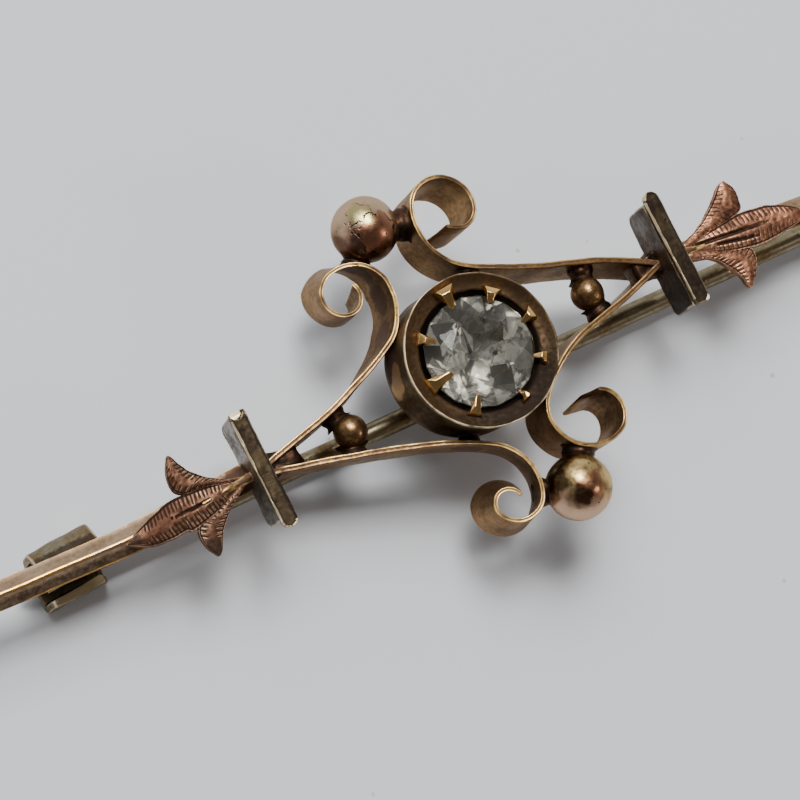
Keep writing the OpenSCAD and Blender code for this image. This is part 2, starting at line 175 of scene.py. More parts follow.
class StudioSettings(bpy.types.PropertyGroup):
    camera_place: FloatVectorProperty(
        name="Camera place", description="Place of the camera from the rim's middle",
        default=(-37.003 * MM, -7.832 * MM, 106.106 * MM), subtype="TRANSLATION", unit="LENGTH", precision=6)
    camera_turn: FloatVectorProperty(
        name="Camera turn", description="Rotation of the camera",
        default=tuple(math.radians(a) for a in (11.955, -12.941, -30.325)), subtype="EULER", unit="ROTATION")
    lens: FloatProperty(name="Lens", description="Focal length of the camera", default=118.07, unit="CAMERA")
    floor: colour("Floor", "Pale floor", 203, 206, 211)
    key_power: measure("Key light", "Power of the main soft light in watts", 16.5)
    side_power: measure("Side light", "Power of the side light in watts", 1.2)
    ceiling: measure("Ceiling", "Brightness of the room above", 0.1)
    horizon: measure("Horizon", "Brightness of the room's lit side", 0.8)


class BroochSettings(bpy.types.PropertyGroup):
    setting: PointerProperty(type=SettingSizes)
    ribbon: PointerProperty(type=RibbonSizes)
    bead: PointerProperty(type=BeadSizes)
    crossbar: PointerProperty(type=CrossbarSizes)
    leaf: PointerProperty(type=LeafSizes)
    bar: PointerProperty(type=BarSizes)
    fastening: PointerProperty(type=FasteningSizes)
    colours: PointerProperty(type=FinishColours)
    studio: PointerProperty(type=StudioSettings)


# Ribbon courses in millimetres, from the crossbar to the tip of the curl. start is x, y and the
# heading in degrees. rows are (length, radius), a positive radius turning left. longer gives how
# much further than its upper edge the ribbon runs, by share of its depth. lean gives how far its
# lower edge stands outside its upper edge, by share of its length. A turned course is laid half
# round, at the left of the collet.

COURSES = {
    "scroll_top": {
        "start": (9.86, 0.05, 149.5), "turned": False,
        "rows": ((4.45, 20.4), (4.34, -21), (3.84, -2.58), (4.42, -1.47), (1.65, -0.94), (0.4, -30)),
        "longer": ((0, 0), (0.25, 0.1), (1, 0.66)),
        "lean": ((0.6, 0), (0.7, 0), (0.78, -0.22), (0.9, -0.2), (1, 0.35))},
    "scroll_left": {
        "start": (9.82, -0.28, -168), "turned": True,
        "rows": ((1.73, -37.4), (5.12, 16.4), (2.89, 2.63), (2.81, 1.71), (2.75, 1.08), (1.89, 0.72)),
        "longer": ((0, 0), (1, -0.3)),
        "lean": ((0.26, 0), (0.36, -0.35), (0.44, -0.7), (0.58, -0.7), (0.66, -0.1), (0.72, 0.55),
                 (0.78, 0.65), (0.84, 0.25), (0.9, -0.05), (1, -0.35))},
    "scroll_bottom": {
        "start": (9.8, 0.32, 163.9), "turned": True,
        "rows": ((6.2, -65.7), (3.09, -14.6), (3.27, -2.31), (2.79, -1.18), (2.41, -0.72)),
        "longer": ((0, 0), (1, 0.1)),
        "lean": ((0.6, 0), (0.74, 0.0), (0.82, 0.4), (0.9, 0.7), (1, 0.5))},
    "scroll_right": {
        "start": (9.84, -0.36, -164.2), "turned": False,
        "rows": ((4.03, -31.6), (4.26, 7.07), (1.72, 1.57), (3.41, 1.96), (1.72, 1.08), (0.74, 0.92)),
        "longer": ((0, 0), (0.16, 0.02), (0.22, 0.6), (1, 0.8)),
        "lean": ((0.6, 0), (0.8, 0), (0.9, -0.1), (1, -0.4))},
}


def course_line(course):
    """Distance, x, y and heading along a course, in millimetres and radians, its bends eased in."""
    step, before, after, ease = 0.02, 50, 100, 45
    x, y, start = course["start"]
    runs, radii = zip(*course["rows"])
    ends = np.cumsum(runs)
    along = np.arange(-before, int(ends[-1] / step) + after) * step
    bend = (1 / np.array(radii))[np.minimum(np.searchsorted(ends, along), len(radii) - 1)]
    window = np.hanning(ease)
    bend = np.convolve(np.pad(bend, ease // 2, mode="edge"), window / window.sum(), mode="valid")
    bend[along > ends[-1]] = 0
    heading = np.cumsum(bend) * step
    heading += math.radians(start) - heading[before]
    xs = np.cumsum(np.cos(heading)) * step
    ys = np.cumsum(np.sin(heading)) * step
    return along, xs + x - xs[before], ys + y - ys[before], heading


def table_value(table, share):
    """Value read from a table of (share, value) pairs."""
    return float(np.interp(share, *zip(*table)))


# Shader maths

class Shade:
    """One output of a node, with arithmetic for values."""

    def __init__(self, finish, socket):
        self.finish = finish
        self.socket = socket

    def math(self, operation, *values):
        """One step of arithmetic."""
        sockets = dict(enumerate(values))
        return self.finish.node("ShaderNodeMath", {"operation": operation}, sockets)

    def __add__(self, other):
        return self.math("ADD", self, other)

    def __radd__(self, other):
        return self.math("ADD", other, self)

    def __sub__(self, other):
        return self.math("SUBTRACT", self, other)

    def __rsub__(self, other):
        return self.math("SUBTRACT", other, self)

    def __mul__(self, other):
        return self.math("MULTIPLY", self, other)

    def __rmul__(self, other):
        return self.math("MULTIPLY", other, self)

    def step(self, low, high):
        """0 below low, 1 above high, smooth between them."""
        settings = {"interpolation_type": "SMOOTHSTEP", "clamp": True}
        return self.finish.node("ShaderNodeMapRange", settings,
                                {"Value": self, "From Min": low, "From Max": high})

    def clear(self):
        """Limited to 0 to 1."""
        return self.finish.node("ShaderNodeClamp", {}, {"Value": self})


class Nodes:
    """Node tree that is being made."""

    def __init__(self, tree):
        self.tree = tree
        self.tree.nodes.clear()

    def node(self, kind, settings=None, sockets=None, output=0):
        """Any node, by its type, its settings and the values or links of its sockets."""
        made = self.tree.nodes.new(kind)
        for key, value in (settings or {}).items():
            setattr(made, key, value)
        for key, value in (sockets or {}).items():
            if isinstance(value, Shade):
                self.tree.links.new(value.socket, made.inputs[key])
            else:
                made.inputs[key].default_value = value
        return None if output is None else Shade(self, made.outputs[output])

    def vector(self, operation, first, second=(0, 0, 0), scale=1.0, output="Vector"):
        """A vector worked out from others, or a value such as their dot product."""
        return self.node("ShaderNodeVectorMath", {"operation": operation},
                         {0: first, 1: second, 3: scale}, output)

    def mix(self, factor, first, second):
        """Colour between two colours."""
        tones = [v if isinstance(v, Shade) else (*v, 1) for v in (first, second)]
        return self.node("ShaderNodeMix", {"data_type": "RGBA"}, {0: factor, 6: tones[0], 7: tones[1]}, 2)


class Finish(Nodes):
    """Material that is being made, with its places in millimetres."""

    def __init__(self, name):
        self.material = bpy.data.materials.new(name)
        self.material.use_nodes = True
        super().__init__(self.material.node_tree)
        self.place = self.vector("SCALE", self.node("ShaderNodeTexCoord", output="Object"), scale=1 / MM)

    def shifted(self, shift):
        """The place, moved along."""
        return self.vector("ADD", self.place, shift)

    def noise(self, scale, detail=3.0, place=None, distortion=0.0, output=0):
        """Soft noise with that many lumps a millimetre, about 0.5."""
        sockets = {"Vector": place or self.place, "Scale": scale, "Detail": detail, "Distortion": distortion}
        return self.node("ShaderNodeTexNoise", {}, sockets, output)

    def cells(self, scale, place=None, feature="F1", output=0):
        """Distance to the nearest of scattered points or to the border between two, or its colour."""
        sockets = {"Vector": place or self.place, "Scale": scale}
        return self.node("ShaderNodeTexVoronoi", {"feature": feature}, sockets, output)

    def stretched(self, x, y, z):
        """The place, stretched differently along each axis."""
        return self.node("ShaderNodeMapping", {}, {"Vector": self.place, "Scale": (x, y, z)})

    def mark(self, name):
        """A number kept at each of the mesh's points."""
        return self.node("ShaderNodeAttribute", {"attribute_name": name}, output="Fac")

    def frayed(self, name, grain, amount, low, high):
        """A mark with a grainy border, 0 below low and 1 above high."""
        return (self.mark(name) + (grain - 0.5) * amount).step(low, high)

    def bump(self, height, distance, strength=1.0):
        """Relief as a normal, its full height given in metres."""
        sockets = {"Height": height, "Strength": strength, "Distance": distance}
        return self.node("ShaderNodeBump", {}, sockets)

    def principled(self, sockets):
        """A principled surface with those values and links."""
        return self.node("ShaderNodeBsdfPrincipled", {}, sockets)

    def end(self, surface):
        """Ends the tree in a surface."""
        self.node("ShaderNodeOutputMaterial", {}, {"Surface": surface}, None)
        return self.material

    def metal(self, tone, roughness, metallic, normal, grazing=(0.85, 0.76, 0.68)):
        """Ends the tree in a metal surface. grazing tints what it mirrors at shallow angles."""
        return self.end(self.principled({
            "Base Color": tone, "Roughness": roughness.clear(), "Metallic": metallic.clear(),
            "Normal": normal, "Specular Tint": (*grazing, 1)}))


def worn_metal(name, clean, bright, dark, tones, patina=0.5, rough=0.3, pits=0.35, dirt_and_shade=1.0, edges=1.0,
               texture=1.0, calm=0.0, grazing=(0.84, 0.75, 0.67)):
    """Old metal: clouds of patina, edges rubbed bright in places, dirt in corners and pits, and the
    painted highlights and painted shade that some pieces mark on it.

    patina is how much of the dark colour shows, rough the roughness of the clean metal. pits, dirt (with
    painted shade), edges (with painted highlights) and texture are strengths. calm is how softly the clouds
    of patina end."""
    finish = Finish(name)
    clouds = finish.noise(0.8, 4)
    grain = finish.noise(5, 3)
    fine = finish.noise(30, 2)
    rubbed = finish.noise(0.5, 2, finish.shifted((5.1, 2.2, 0.7))) * 0.75
    rubbed = rubbed + finish.noise(1.9, 2, finish.shifted((1.1, 7.2, 3.7))) * 0.25
    rubbed = rubbed.step(0.4, 0.56)
    # The edge mark holds rubbed wear and painted highlights, the corner mark dirt and painted shade, and the
    # bare mark bare metal and painted highlights.
    worn_lit_or_dull = finish.frayed("wear_and_sheen", grain, 0.3, 0.28, 0.66) * rubbed * edges
    grime_and_shade = (finish.mark("dirt_and_shade") * 1.6 + (grain - 0.5) * 0.4).step(0.1, 0.5) * dirt_and_shade
    soldered = finish.frayed("solder", grain, 0.6, 0.3, 0.6)
    bare_and_sheen = finish.frayed("bare_and_sheen", grain, 0.5, 0.36, 0.56)
    film = clouds * 0.6 + grain * 0.4 + (patina - 0.5) * 0.5 - bare_and_sheen * 0.3
    film = film.step(0.36 - calm, 0.62 + calm)
    holes = finish.cells(1.9, finish.shifted((3.7, 1.9, 8.3)))
    pit = (1 - (holes + (grain - 0.5) * 0.3).step(0.05, 0.15)) * pits
    streaks = finish.noise(2.6, 5, finish.stretched(0.35, 4.5, 2.0), 0.4).step(0.48, 0.72)
    tone = finish.mix(film, clean, dark)
    tone = finish.mix(streaks * 0.18 * texture, tone, clean)
    tone = finish.mix((pit + grime_and_shade * 0.85).clear(), tone, tones.tarnish)
    tone = finish.mix(soldered * 0.9, tone, tones.solder)
    tone = finish.mix((worn_lit_or_dull + bare_and_sheen * 0.85).clear(), tone, bright)
    roughness = film * 0.16 + fine * 0.12 + soldered * 0.1 + grime_and_shade * 0.2 + (rough - 0.06) - worn_lit_or_dull * 0.1
    metallic = 1 - film * 0.12 - soldered * 0.25 - grime_and_shade * 0.3
    relief = fine * 0.22 + grain * 0.6 + streaks * 0.25 - pit * 2 + soldered * grain * 3
    return finish.metal(tone, roughness, metallic, finish.bump(relief, 0.012 * MM, 0.7 * texture), grazing)


def patched_metal(name, first, second, low, tones, patches=(), soft=0.02, cracked=0.95, lumps=1.6):
    """Polished ball: two clouded tones, its lower side painted over as painted light, with ragged patches
    and dark cracks.

    patches holds (point in metres, radius in millimetres, colour), soft is their edge, cracked the
    strength of the cracks round them and lumps that of the dents."""
    finish = Finish(name)
    grain = finish.noise(5, 3)
    tone = finish.mix(finish.noise(0.75, 4).step(0.42, 0.6), first, second)
    # Painted light on the lower side: a dark low tone is painted shade, a pale low tone a painted reflection
    # of the floor.
    under = finish.node("ShaderNodeNewGeometry", output="Normal")
    under = finish.vector("DOT_PRODUCT", under, (-0.5, -0.82, -0.27), output="Value")
    under = (under + (finish.noise(1.4, 4) - 0.5) * 1.0).step(-0.15, 0.4)
    tone = finish.mix(under * 0.9, tone, low)
    cracks = 0.0
    for at, radius, patch in patches:
        away = finish.vector("SUBTRACT", finish.place, [c / MM for c in at])
        away = finish.vector("LENGTH", away, output="Value")
        away = away + (finish.cells(2.2, finish.shifted(at), "SMOOTH_F1") - 0.45) * 0.75
        away = away + (finish.noise(4.5, 3) - 0.5) * 0.3
        edge = away - radius
        tone = finish.mix((1 - edge.step(-soft, soft)) * 0.9, tone, patch)
        broken = finish.noise(2.3, 2, finish.shifted(at)).step(0.42, 0.5)
        cracks = cracks + (1 - (edge * edge).step(0.0002, 0.002)) * broken * cracked
    holes = finish.cells(2.1, finish.shifted((1.3, 7.9, 2.2)))
    pit = 1 - (holes + (grain - 0.5) * 0.3).step(0.05, 0.12)
    soldered = finish.frayed("solder", grain, 0.6, 0.35, 0.7)
    tone = finish.mix((pit * 0.7 + cracks).clear(), tone, tones.tarnish)
    tone = finish.mix(soldered * 0.95, tone, tones.solder)
    roughness = 0.2 + grain * 0.2 + soldered * 0.2 + cracks * 0.3
    relief = grain * 0.5 + finish.noise(1.3, 2) * lumps - pit * 1.6 - cracks * 0.5 + soldered * grain * 3
    return finish.metal(tone, roughness, 1 - soldered * 0.3, finish.bump(relief, 0.02 * MM, 0.8))


def make_finishes(tones):
    """Every metal finish of the brooch, by a plain name.

    Each row has the clean, the bright and the dark colour, then the shares that worn_metal takes."""
    gold, rose, white = tones.gold_bright, tones.rose_bright, (1, 1, 1)
    rows = {
        "ribbon": (tones.gold, gold, tones.gold_dark, 0.56, 0.3, 0.3, 1.0, 0.95, 0.4, 0.16),
        "collet": (tones.olive, tones.gold, tones.umber, 0.54, 0.36, 0.25, 1.0, 0.7, 0.7),
        "dish": (tones.brown, tones.pale, tones.umber, 0.54, 0.46, 0.3, 1.0, 0.7, 1.3),
        "claw": (gold, gold, tones.rose, 0.3, 0.14, 0.0, 0.0, 0.8, 0.5),
        "leaf_left": (tones.rose_worn, rose, tones.rose_dark, 0.54, 0.4, 0.2, 0.8, 0.3, 1.0),
        "leaf_right": (tones.rose, rose, tones.rose_dark, 0.52, 0.38, 0.3, 0.9, 0.4, 1.0),
        "leaf_stem": (tones.olive, gold, tones.tarnish, 0.5, 0.36, 0.3, 1.0, 0.7, 1.0),
        "small_bead": (tones.gold, gold, tones.gold_dark, 0.56, 0.22, 0.4, 1.0, 1.0, 1.0),
        "bar": (tones.bar, tones.ridge, tones.bar_dark, 0.42, 0.28, 0.1, 1.0, 1.2, 0.6, 0.14),
        "cap": (tones.sunk, tones.pale, tones.tarnish, 0.42, 0.44, 0.6, 0.8, 0.2, 0.8),
        "plate_left": (tones.silver, tones.pale, tones.umber, 0.46, 0.38, 0.5, 1.0, 0.5, 0.8, 0.0, white),
        "plate_right": (tones.silver_dark, tones.pale, tones.umber, 0.5, 0.36, 0.5, 1.0, 0.4, 0.8, 0.0,
                        white),
        "solder": (tones.solder, tones.silver, tones.tarnish, 0.5, 0.34, 0.5, 1.0, 0.4, 1.0),
        # The ledge under the stone is finished all in tarnish, as painted shade.
        "seat_shade": (tones.tarnish, gold, tones.tarnish, 0.6, 0.5, 0.3, 1.0, 0.1, 1.0),
        "steel": (tones.steel, tones.silver, tones.olive, 0.4, 0.3, 0.4, 1.0, 0.6, 0.7),
        "catch": (tones.catch, tones.pale, tones.olive, 0.54, 0.4, 0.6, 1.0, 0.6, 1.4, 0.05),
    }
    return {name: worn_metal(name + "_finish", clean, bright, dark, tones, *shares)
            for name, (clean, bright, dark, *shares) in rows.items()}


def glass_finish():
    """Clear glass."""
    finish = Finish("clear_stone")
    return finish.end(finish.principled({
        "Base Color": (0.97, 0.965, 0.94, 1), "Roughness": 0.0, "IOR": 1.5, "Transmission Weight": 1.0}))


def facet_light_finish():
    """Back facets of the stone: each sends back its own share of the light as a painted reflection, broken
    into chips, with painted highlights along the seams and on bright flakes.
    """
    finish = Finish("stone_back_facets")
    facet = finish.mark("facet")
    sway = finish.vector("SCALE", finish.noise(1.5, 2, output="Color"), scale=0.5)
    jagged = finish.shifted(sway)
    chips = finish.cells(1.6, jagged, output="Color")
    seams = finish.cells(1.6, jagged, "DISTANCE_TO_EDGE")
    chip = finish.vector("DOT_PRODUCT", chips, (1, 0, 0), output="Value")
    flakes = finish.cells(4.2, jagged, output="Color")
    flake = finish.vector("DOT_PRODUCT", flakes, (0, 1, 0), output="Value")
    light = (facet * 0.95 + 0.06) * (chip * 1.2 + flake * 0.95 - 0.24).clear()
    light = light + (1 - seams.step(0.01, 0.035)) * (facet + 0.1) * 0.3
    light = light + flake.step(0.86, 0.9) * facet.step(0.3, 0.5) * 0.45
    gleam = facet.step(0.62, 0.75) * chip.step(0.5, 0.58)
    mirror = finish.principled({"Base Color": (0.85, 0.83, 0.74, 1), "Roughness": 0.08, "Metallic": 1.0})
    tone = finish.mix(light.clear(), (0.04, 0.036, 0.033), (1.0, 0.99, 0.88))
    film = finish.principled({"Base Color": tone, "Roughness": 0.6})
    return finish.end(finish.node("ShaderNodeMixShader", {}, {0: 0.78 - gleam * 0.6, 1: mirror, 2: film}))


# Meshes

def ragged(point, lumps, amount, seed=0.0):
    """Small offset that varies smoothly over space: lumps a millimetre, amount in metres."""
    return noise.noise_vector(point / MM * lumps + Vector((seed, seed * 2, seed * 3))) * amount


def uneven(point, *waves):
    """The point, moved by waves of (lumps a millimetre, amount in millimetres)."""
    moved = point
    for lumps, amount in waves:
        moved = moved + ragged(point, lumps, amount * MM)
    return moved


def ramp(value, start, reach):
    """0 up to start, then rising evenly to 1 over the reach."""
    return min(1.0, max(0.0, (value - start) / reach))


def circle(count):
    """Angles of that many even steps round a circle."""
    return [2 * math.pi * k / count for k in range(count)]


def arms(turn):
    """Level directions at an angle and square to it."""
    return Vector((math.cos(turn), math.sin(turn), 0)), Vector((-math.sin(turn), math.cos(turn), 0))


def raised(height):
    """Vector straight up."""
    return Vector((0, 0, height))


def upright_ring(middle, across, width, height, count):
    """Ellipse that stands upright round a point."""
    return [middle + across * (width * math.cos(a)) + raised(height * math.sin(a)) for a in circle(count)]


def quarter(x, y, radius, start, steps):
    """Quarter circle from a start in degrees. A negative radius gives the quarter opposite."""
    turns = [math.radians(start + 90 * k / steps) for k in range(steps + 1)]
    return [(x + radius * math.cos(a), y + radius * math.sin(a)) for a in turns]


def between(first, last, steps):
    """Points that part the line between two points into even steps."""
    (x0, y0), (x1, y1) = first, last
    return [(x0 + (x1 - x0) * k / steps, y0 + (y1 - y0) * k / steps) for k in range(1, steps)]


def skin(first, last, count):
    """Faces between two rings of points, given by the numbers of their first points."""
    return [(first + k, first + (k + 1) % count, last + (k + 1) % count, last + k) for k in range(count)]


def loft(rings, cap=True):
    """Points and faces of a skin over closed rings with the same number of points."""
    count = len(rings[0])
    points = [p for ring in rings for p in ring]
    last = (len(rings) - 1) * count
    faces = [face for first in range(0, last, count) for face in skin(first, first + count, count)]
    if cap:
        faces += [tuple(reversed(range(count))), tuple(range(last, last + count))]
    return points, faces


def rounded_section(width, height, radius, side_steps, corner_steps=4):
    """Closed outline of a rounded rectangle round the origin, as (across, up)."""
    x, y = width / 2 - radius, height / 2 - radius
    centres = [(x, y), (-width / 2 + radius, y), (-width / 2 + radius, -height / 2 + radius),
               (x, -height / 2 + radius)]
    corners = [quarter(*at, radius, 90 * index, corner_steps) for index, at in enumerate(centres)]
    outline = []
    for index, corner in enumerate(corners):
        outline += corner + between(corner[-1], corners[(index + 1) % 4][0], side_steps[index % 2])
    return outline


def set_mark(mesh, name, values, domain="POINT"):
    """Keeps a number at each point or face of a mesh."""
    attribute = mesh.attributes.get(name) or mesh.attributes.new(name, "FLOAT", domain)
    attribute.data.foreach_set("value", np.asarray(values, np.float32))


def read_mark(mesh, name):
    """The numbers kept at the points of a mesh."""
    values = np.empty(len(mesh.vertices), np.float32)
    mesh.attributes[name].data.foreach_get("value", values)
    return values


def raise_mark(mesh, name, values):
    """Lifts the numbers kept at the points of a mesh to at least these."""
    set_mark(mesh, name, np.maximum(read_mark(mesh, name), values))


def mark_relief(mesh, reach=0.14 * MM, passes=2):
    """Marks the outward edges of a mesh as wear and its inward corners as dirt with painted shade."""
    count = len(mesh.vertices)
    places = np.empty(count * 3, np.float32)
    normals = np.empty(count * 3, np.float32)
    ends = np.empty(len(mesh.edges) * 2, np.int32)
    mesh.vertices.foreach_get("co", places)
    mesh.vertex_normals.foreach_get("vector", normals)
    mesh.edges.foreach_get("vertices", ends)
    places = places.reshape(-1, 3).astype(float)
    normals = normals.reshape(-1, 3).astype(float)
    first, second = ends.reshape(-1, 2).T
    apart = places[second] - places[first]
    bend = ((normals[second] - normals[first]) * apart).sum(1) / np.maximum((apart ** 2).sum(1), 1e-14)
    shared = np.bincount(first, minlength=count) + np.bincount(second, minlength=count)
    shared = np.maximum(shared, 1)

    def gather(values):
        """Mean over the edges that meet at each point."""
        return (np.bincount(first, values, count) + np.bincount(second, values, count)) / shared

    curve = gather(bend) * reach
    for _ in range(passes):
        curve = (curve + gather((curve[first] + curve[second]) / 2)) / 2
    set_mark(mesh, "wear_and_sheen", np.clip(curve, 0, 1))
    set_mark(mesh, "dirt_and_shade", np.clip(-curve, 0, 1))


def add_piece(name, form, finish, node, solder_at=(), bare_and_sheen_at=(), sharp=None, bevel=None):
    """Makes one visible piece that stands for a node.

    form holds its points and faces. solder_at and the bare spots hold (point, reach) pairs; the bare spots
    are painted bright, as bare metal and as painted highlights. sharp is the angle from which edges stay
    sharp, bevel the offset to which all but flat edges are rounded."""
    points, faces = form
    mesh = bpy.data.meshes.new(name)
    mesh.from_pydata([tuple(p) for p in points], [], faces)
    shape = bmesh.new()
    shape.from_mesh(mesh)
    bmesh.ops.remove_doubles(shape, verts=shape.verts, dist=0.0005 * MM)
    if bevel:
        flat = math.radians(20)
        edges = [e for e in shape.edges if e.calc_face_angle(0) > flat]
        bmesh.ops.bevel(shape, geom=edges, offset=bevel, segments=3, profile=0.6, affect="EDGES")
    bmesh.ops.recalc_face_normals(shape, faces=shape.faces)
    shape.to_mesh(mesh)
    shape.free()
    mesh.shade_smooth()
    mark_relief(mesh)
    places = np.array([v.co for v in mesh.vertices])
    for mark, spots in (("solder", solder_at), ("bare_and_sheen", bare_and_sheen_at)):
        near = np.zeros(len(places))
        for at, reach in spots:
            apart = np.linalg.norm(places - np.array(at), axis=1)
            near = np.maximum(near, np.clip(1.4 - apart / reach, 0, 1))
        set_mark(mesh, mark, near)
    piece = bpy.data.objects.new(name, mesh)
    bpy.context.scene.collection.objects.link(piece)
    mesh.materials.append(finish)
    if sharp:
        mesh.set_sharp_from_angle(angle=math.radians(sharp))
    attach(piece, "root")
    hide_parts(node)
    return piece


def direction(path, index):
    """Direction of a line of points at one of them."""
    return (path[min(len(path) - 1, index + 1)] - path[max(0, index - 1)]).normalized()


def lathe(profile, steps, wobble=0.0):
    """Points and faces of a closed profile turned round the Z axis."""
    rings = []
    for turn in circle(steps):
        ring = [Vector((r * math.cos(turn), r * math.sin(turn), z)) for r, z in profile]
        rings.append([p + ragged(p, 1.2, wobble) for p in ring])
    count = len(profile)
    points = [p for ring in rings for p in ring]
    faces = [face for k in range(steps) for face in skin(k * count, (k + 1) % steps * count, count)]
    return points, faces


def hull_of(corners):
    """Convex hull of some points, as a bmesh."""
    shape = bmesh.new()
    for corner in corners:
        shape.verts.new(corner)
    bmesh.ops.convex_hull(shape, input=shape.verts)
    bmesh.ops.delete(shape, geom=[v for v in shape.verts if not v.link_faces], context="VERTS")
    return shape


def taken_from(shape):
    """Points and faces of a bmesh, which is freed."""
    shape.verts.index_update()
    points = [v.co.copy() for v in shape.verts]
    faces = [tuple(v.index for v in f.verts) for f in shape.faces]
    shape.free()
    return points, faces


def smooth_points(points, steps):
    """Points on a smooth curve through the given ones."""
    found = []
    for index in range(len(points) - 1):
        a, b, c, d = (Vector(points[max(0, min(k, len(points) - 1))]) for k in range(index - 1, index + 3))
        for k in range(steps):
            t = k / steps
            found.append((2 * b + (c - a) * t + (2 * a - 5 * b + 4 * c - d) * t * t
                          + (3 * b - a - 3 * c + d) * t ** 3) / 2)
    return found + [Vector(points[-1])]


def sample(points, share):
    """Point at a share of the way along a polyline."""
    steps = [(q - p).length for p, q in zip(points, points[1:])]
    left = share * sum(steps)
    for step, p, q in zip(steps, points, points[1:]):
        if left <= step and step > 0:
            return p.lerp(q, left / step)
        left -= step
    return points[-1]


# Pieces

def rim_height():
    """Height of the collet's rim above the floor, from which most heights are counted."""
    return bpy.context.scene.brooch.setting.rim_height


# Spots as (x, y, height over the rim) and reach, in millimetres: the solder of the ribbons, the
# first four of it on the collet, the collet's own solder, and where its drum is rubbed bare. The last two
# spots of the ribbons' solder, by the upper bead, darken the ribbon's wall there as dark solder and painted
# shade.

RIBBON_SOLDER = [
    ((1.98, 3.5, -2.6), 0.75), ((-2.62, 2.68, -2.6), 0.75), ((-1.94, -3.28, -2.6), 0.75),
    ((2.39, -2.79, -2.6), 0.75), ((0.6, 6.6, -2.2), 0.75), ((-2.47, 5.86, -2.2), 0.7),
    ((-0.32, -6.48, -2.2), 0.6), ((2.42, -5.66, -2.2), 0.6), ((9.9, -0.1, -3.0), 0.8),
    ((-9.9, 0.0, -3.0), 0.8), ((-6.5, 0.94, -2.8), 0.4), ((-6.55, -1.3, -2.8), 0.4),
    ((6.86, 1.4, -2.8), 0.5), ((6.37, -1.1, -2.8), 0.4), ((-2.2, 4.3, -2.6), 0.8),
    ((-2.5, 5.2, -2.4), 0.65)]
DRUM_SOLDER = [((-3.1, 1.0, -1.9), 0.9), ((-0.6, -3.3, -2.0), 1.3)] + RIBBON_SOLDER[:4]
DRUM_BARE = [((-3.42, 1.0, -1.6), 0.5), ((-3.5, 0.6, -1.8), 0.62), ((-3.5, 0.3, -2.3), 0.5)]

# Claws: angle in degrees, then root, tip, width and lean in millimetres

CLAWS = (
    (8.4, 2.97, 2.16, 0.74, -0.1), (49.2, 2.88, 2.06, 0.92, 0.05), (92.5, 3.16, 2.1, 1.08, 0.1),
    (142.6, 2.84, 1.98, 0.68, 0.05), (187.2, 2.86, 1.68, 0.84, 0.1), (234.1, 2.88, 1.93, 0.68, 0.02),
    (285.0, 2.9, 2.32, 0.56, 0.0), (326.5, 2.96, 2.28, 0.68, 0.02))

# Lumps of solder from the drum to the ribbons: angle in degrees, reach in millimetres, seed

LUGS = ((61, 3.98, 1), (134.3, 3.66, 2), (239.4, 3.72, 3), (310.5, 3.6, 4))

# Section of the ledge under the stone's edge, finished near-black as painted shade: radius and height over
# the rim in millimetres

LEDGE = ((2.72, -0.4), (2.66, -0.5), (2.45, -0.62), (2.2, -0.86), (2.12, -1.0), (2.2, -1.12), (2.5, -1.18),
         (2.8, -1.2), (2.85, -0.8))


def from_rim(spots):
    """The same spots in metres, counted from the floor."""
    rim = rim_height()
    return [((x * MM, y * MM, z * MM + rim), reach * MM) for (x, y, z), reach in spots]


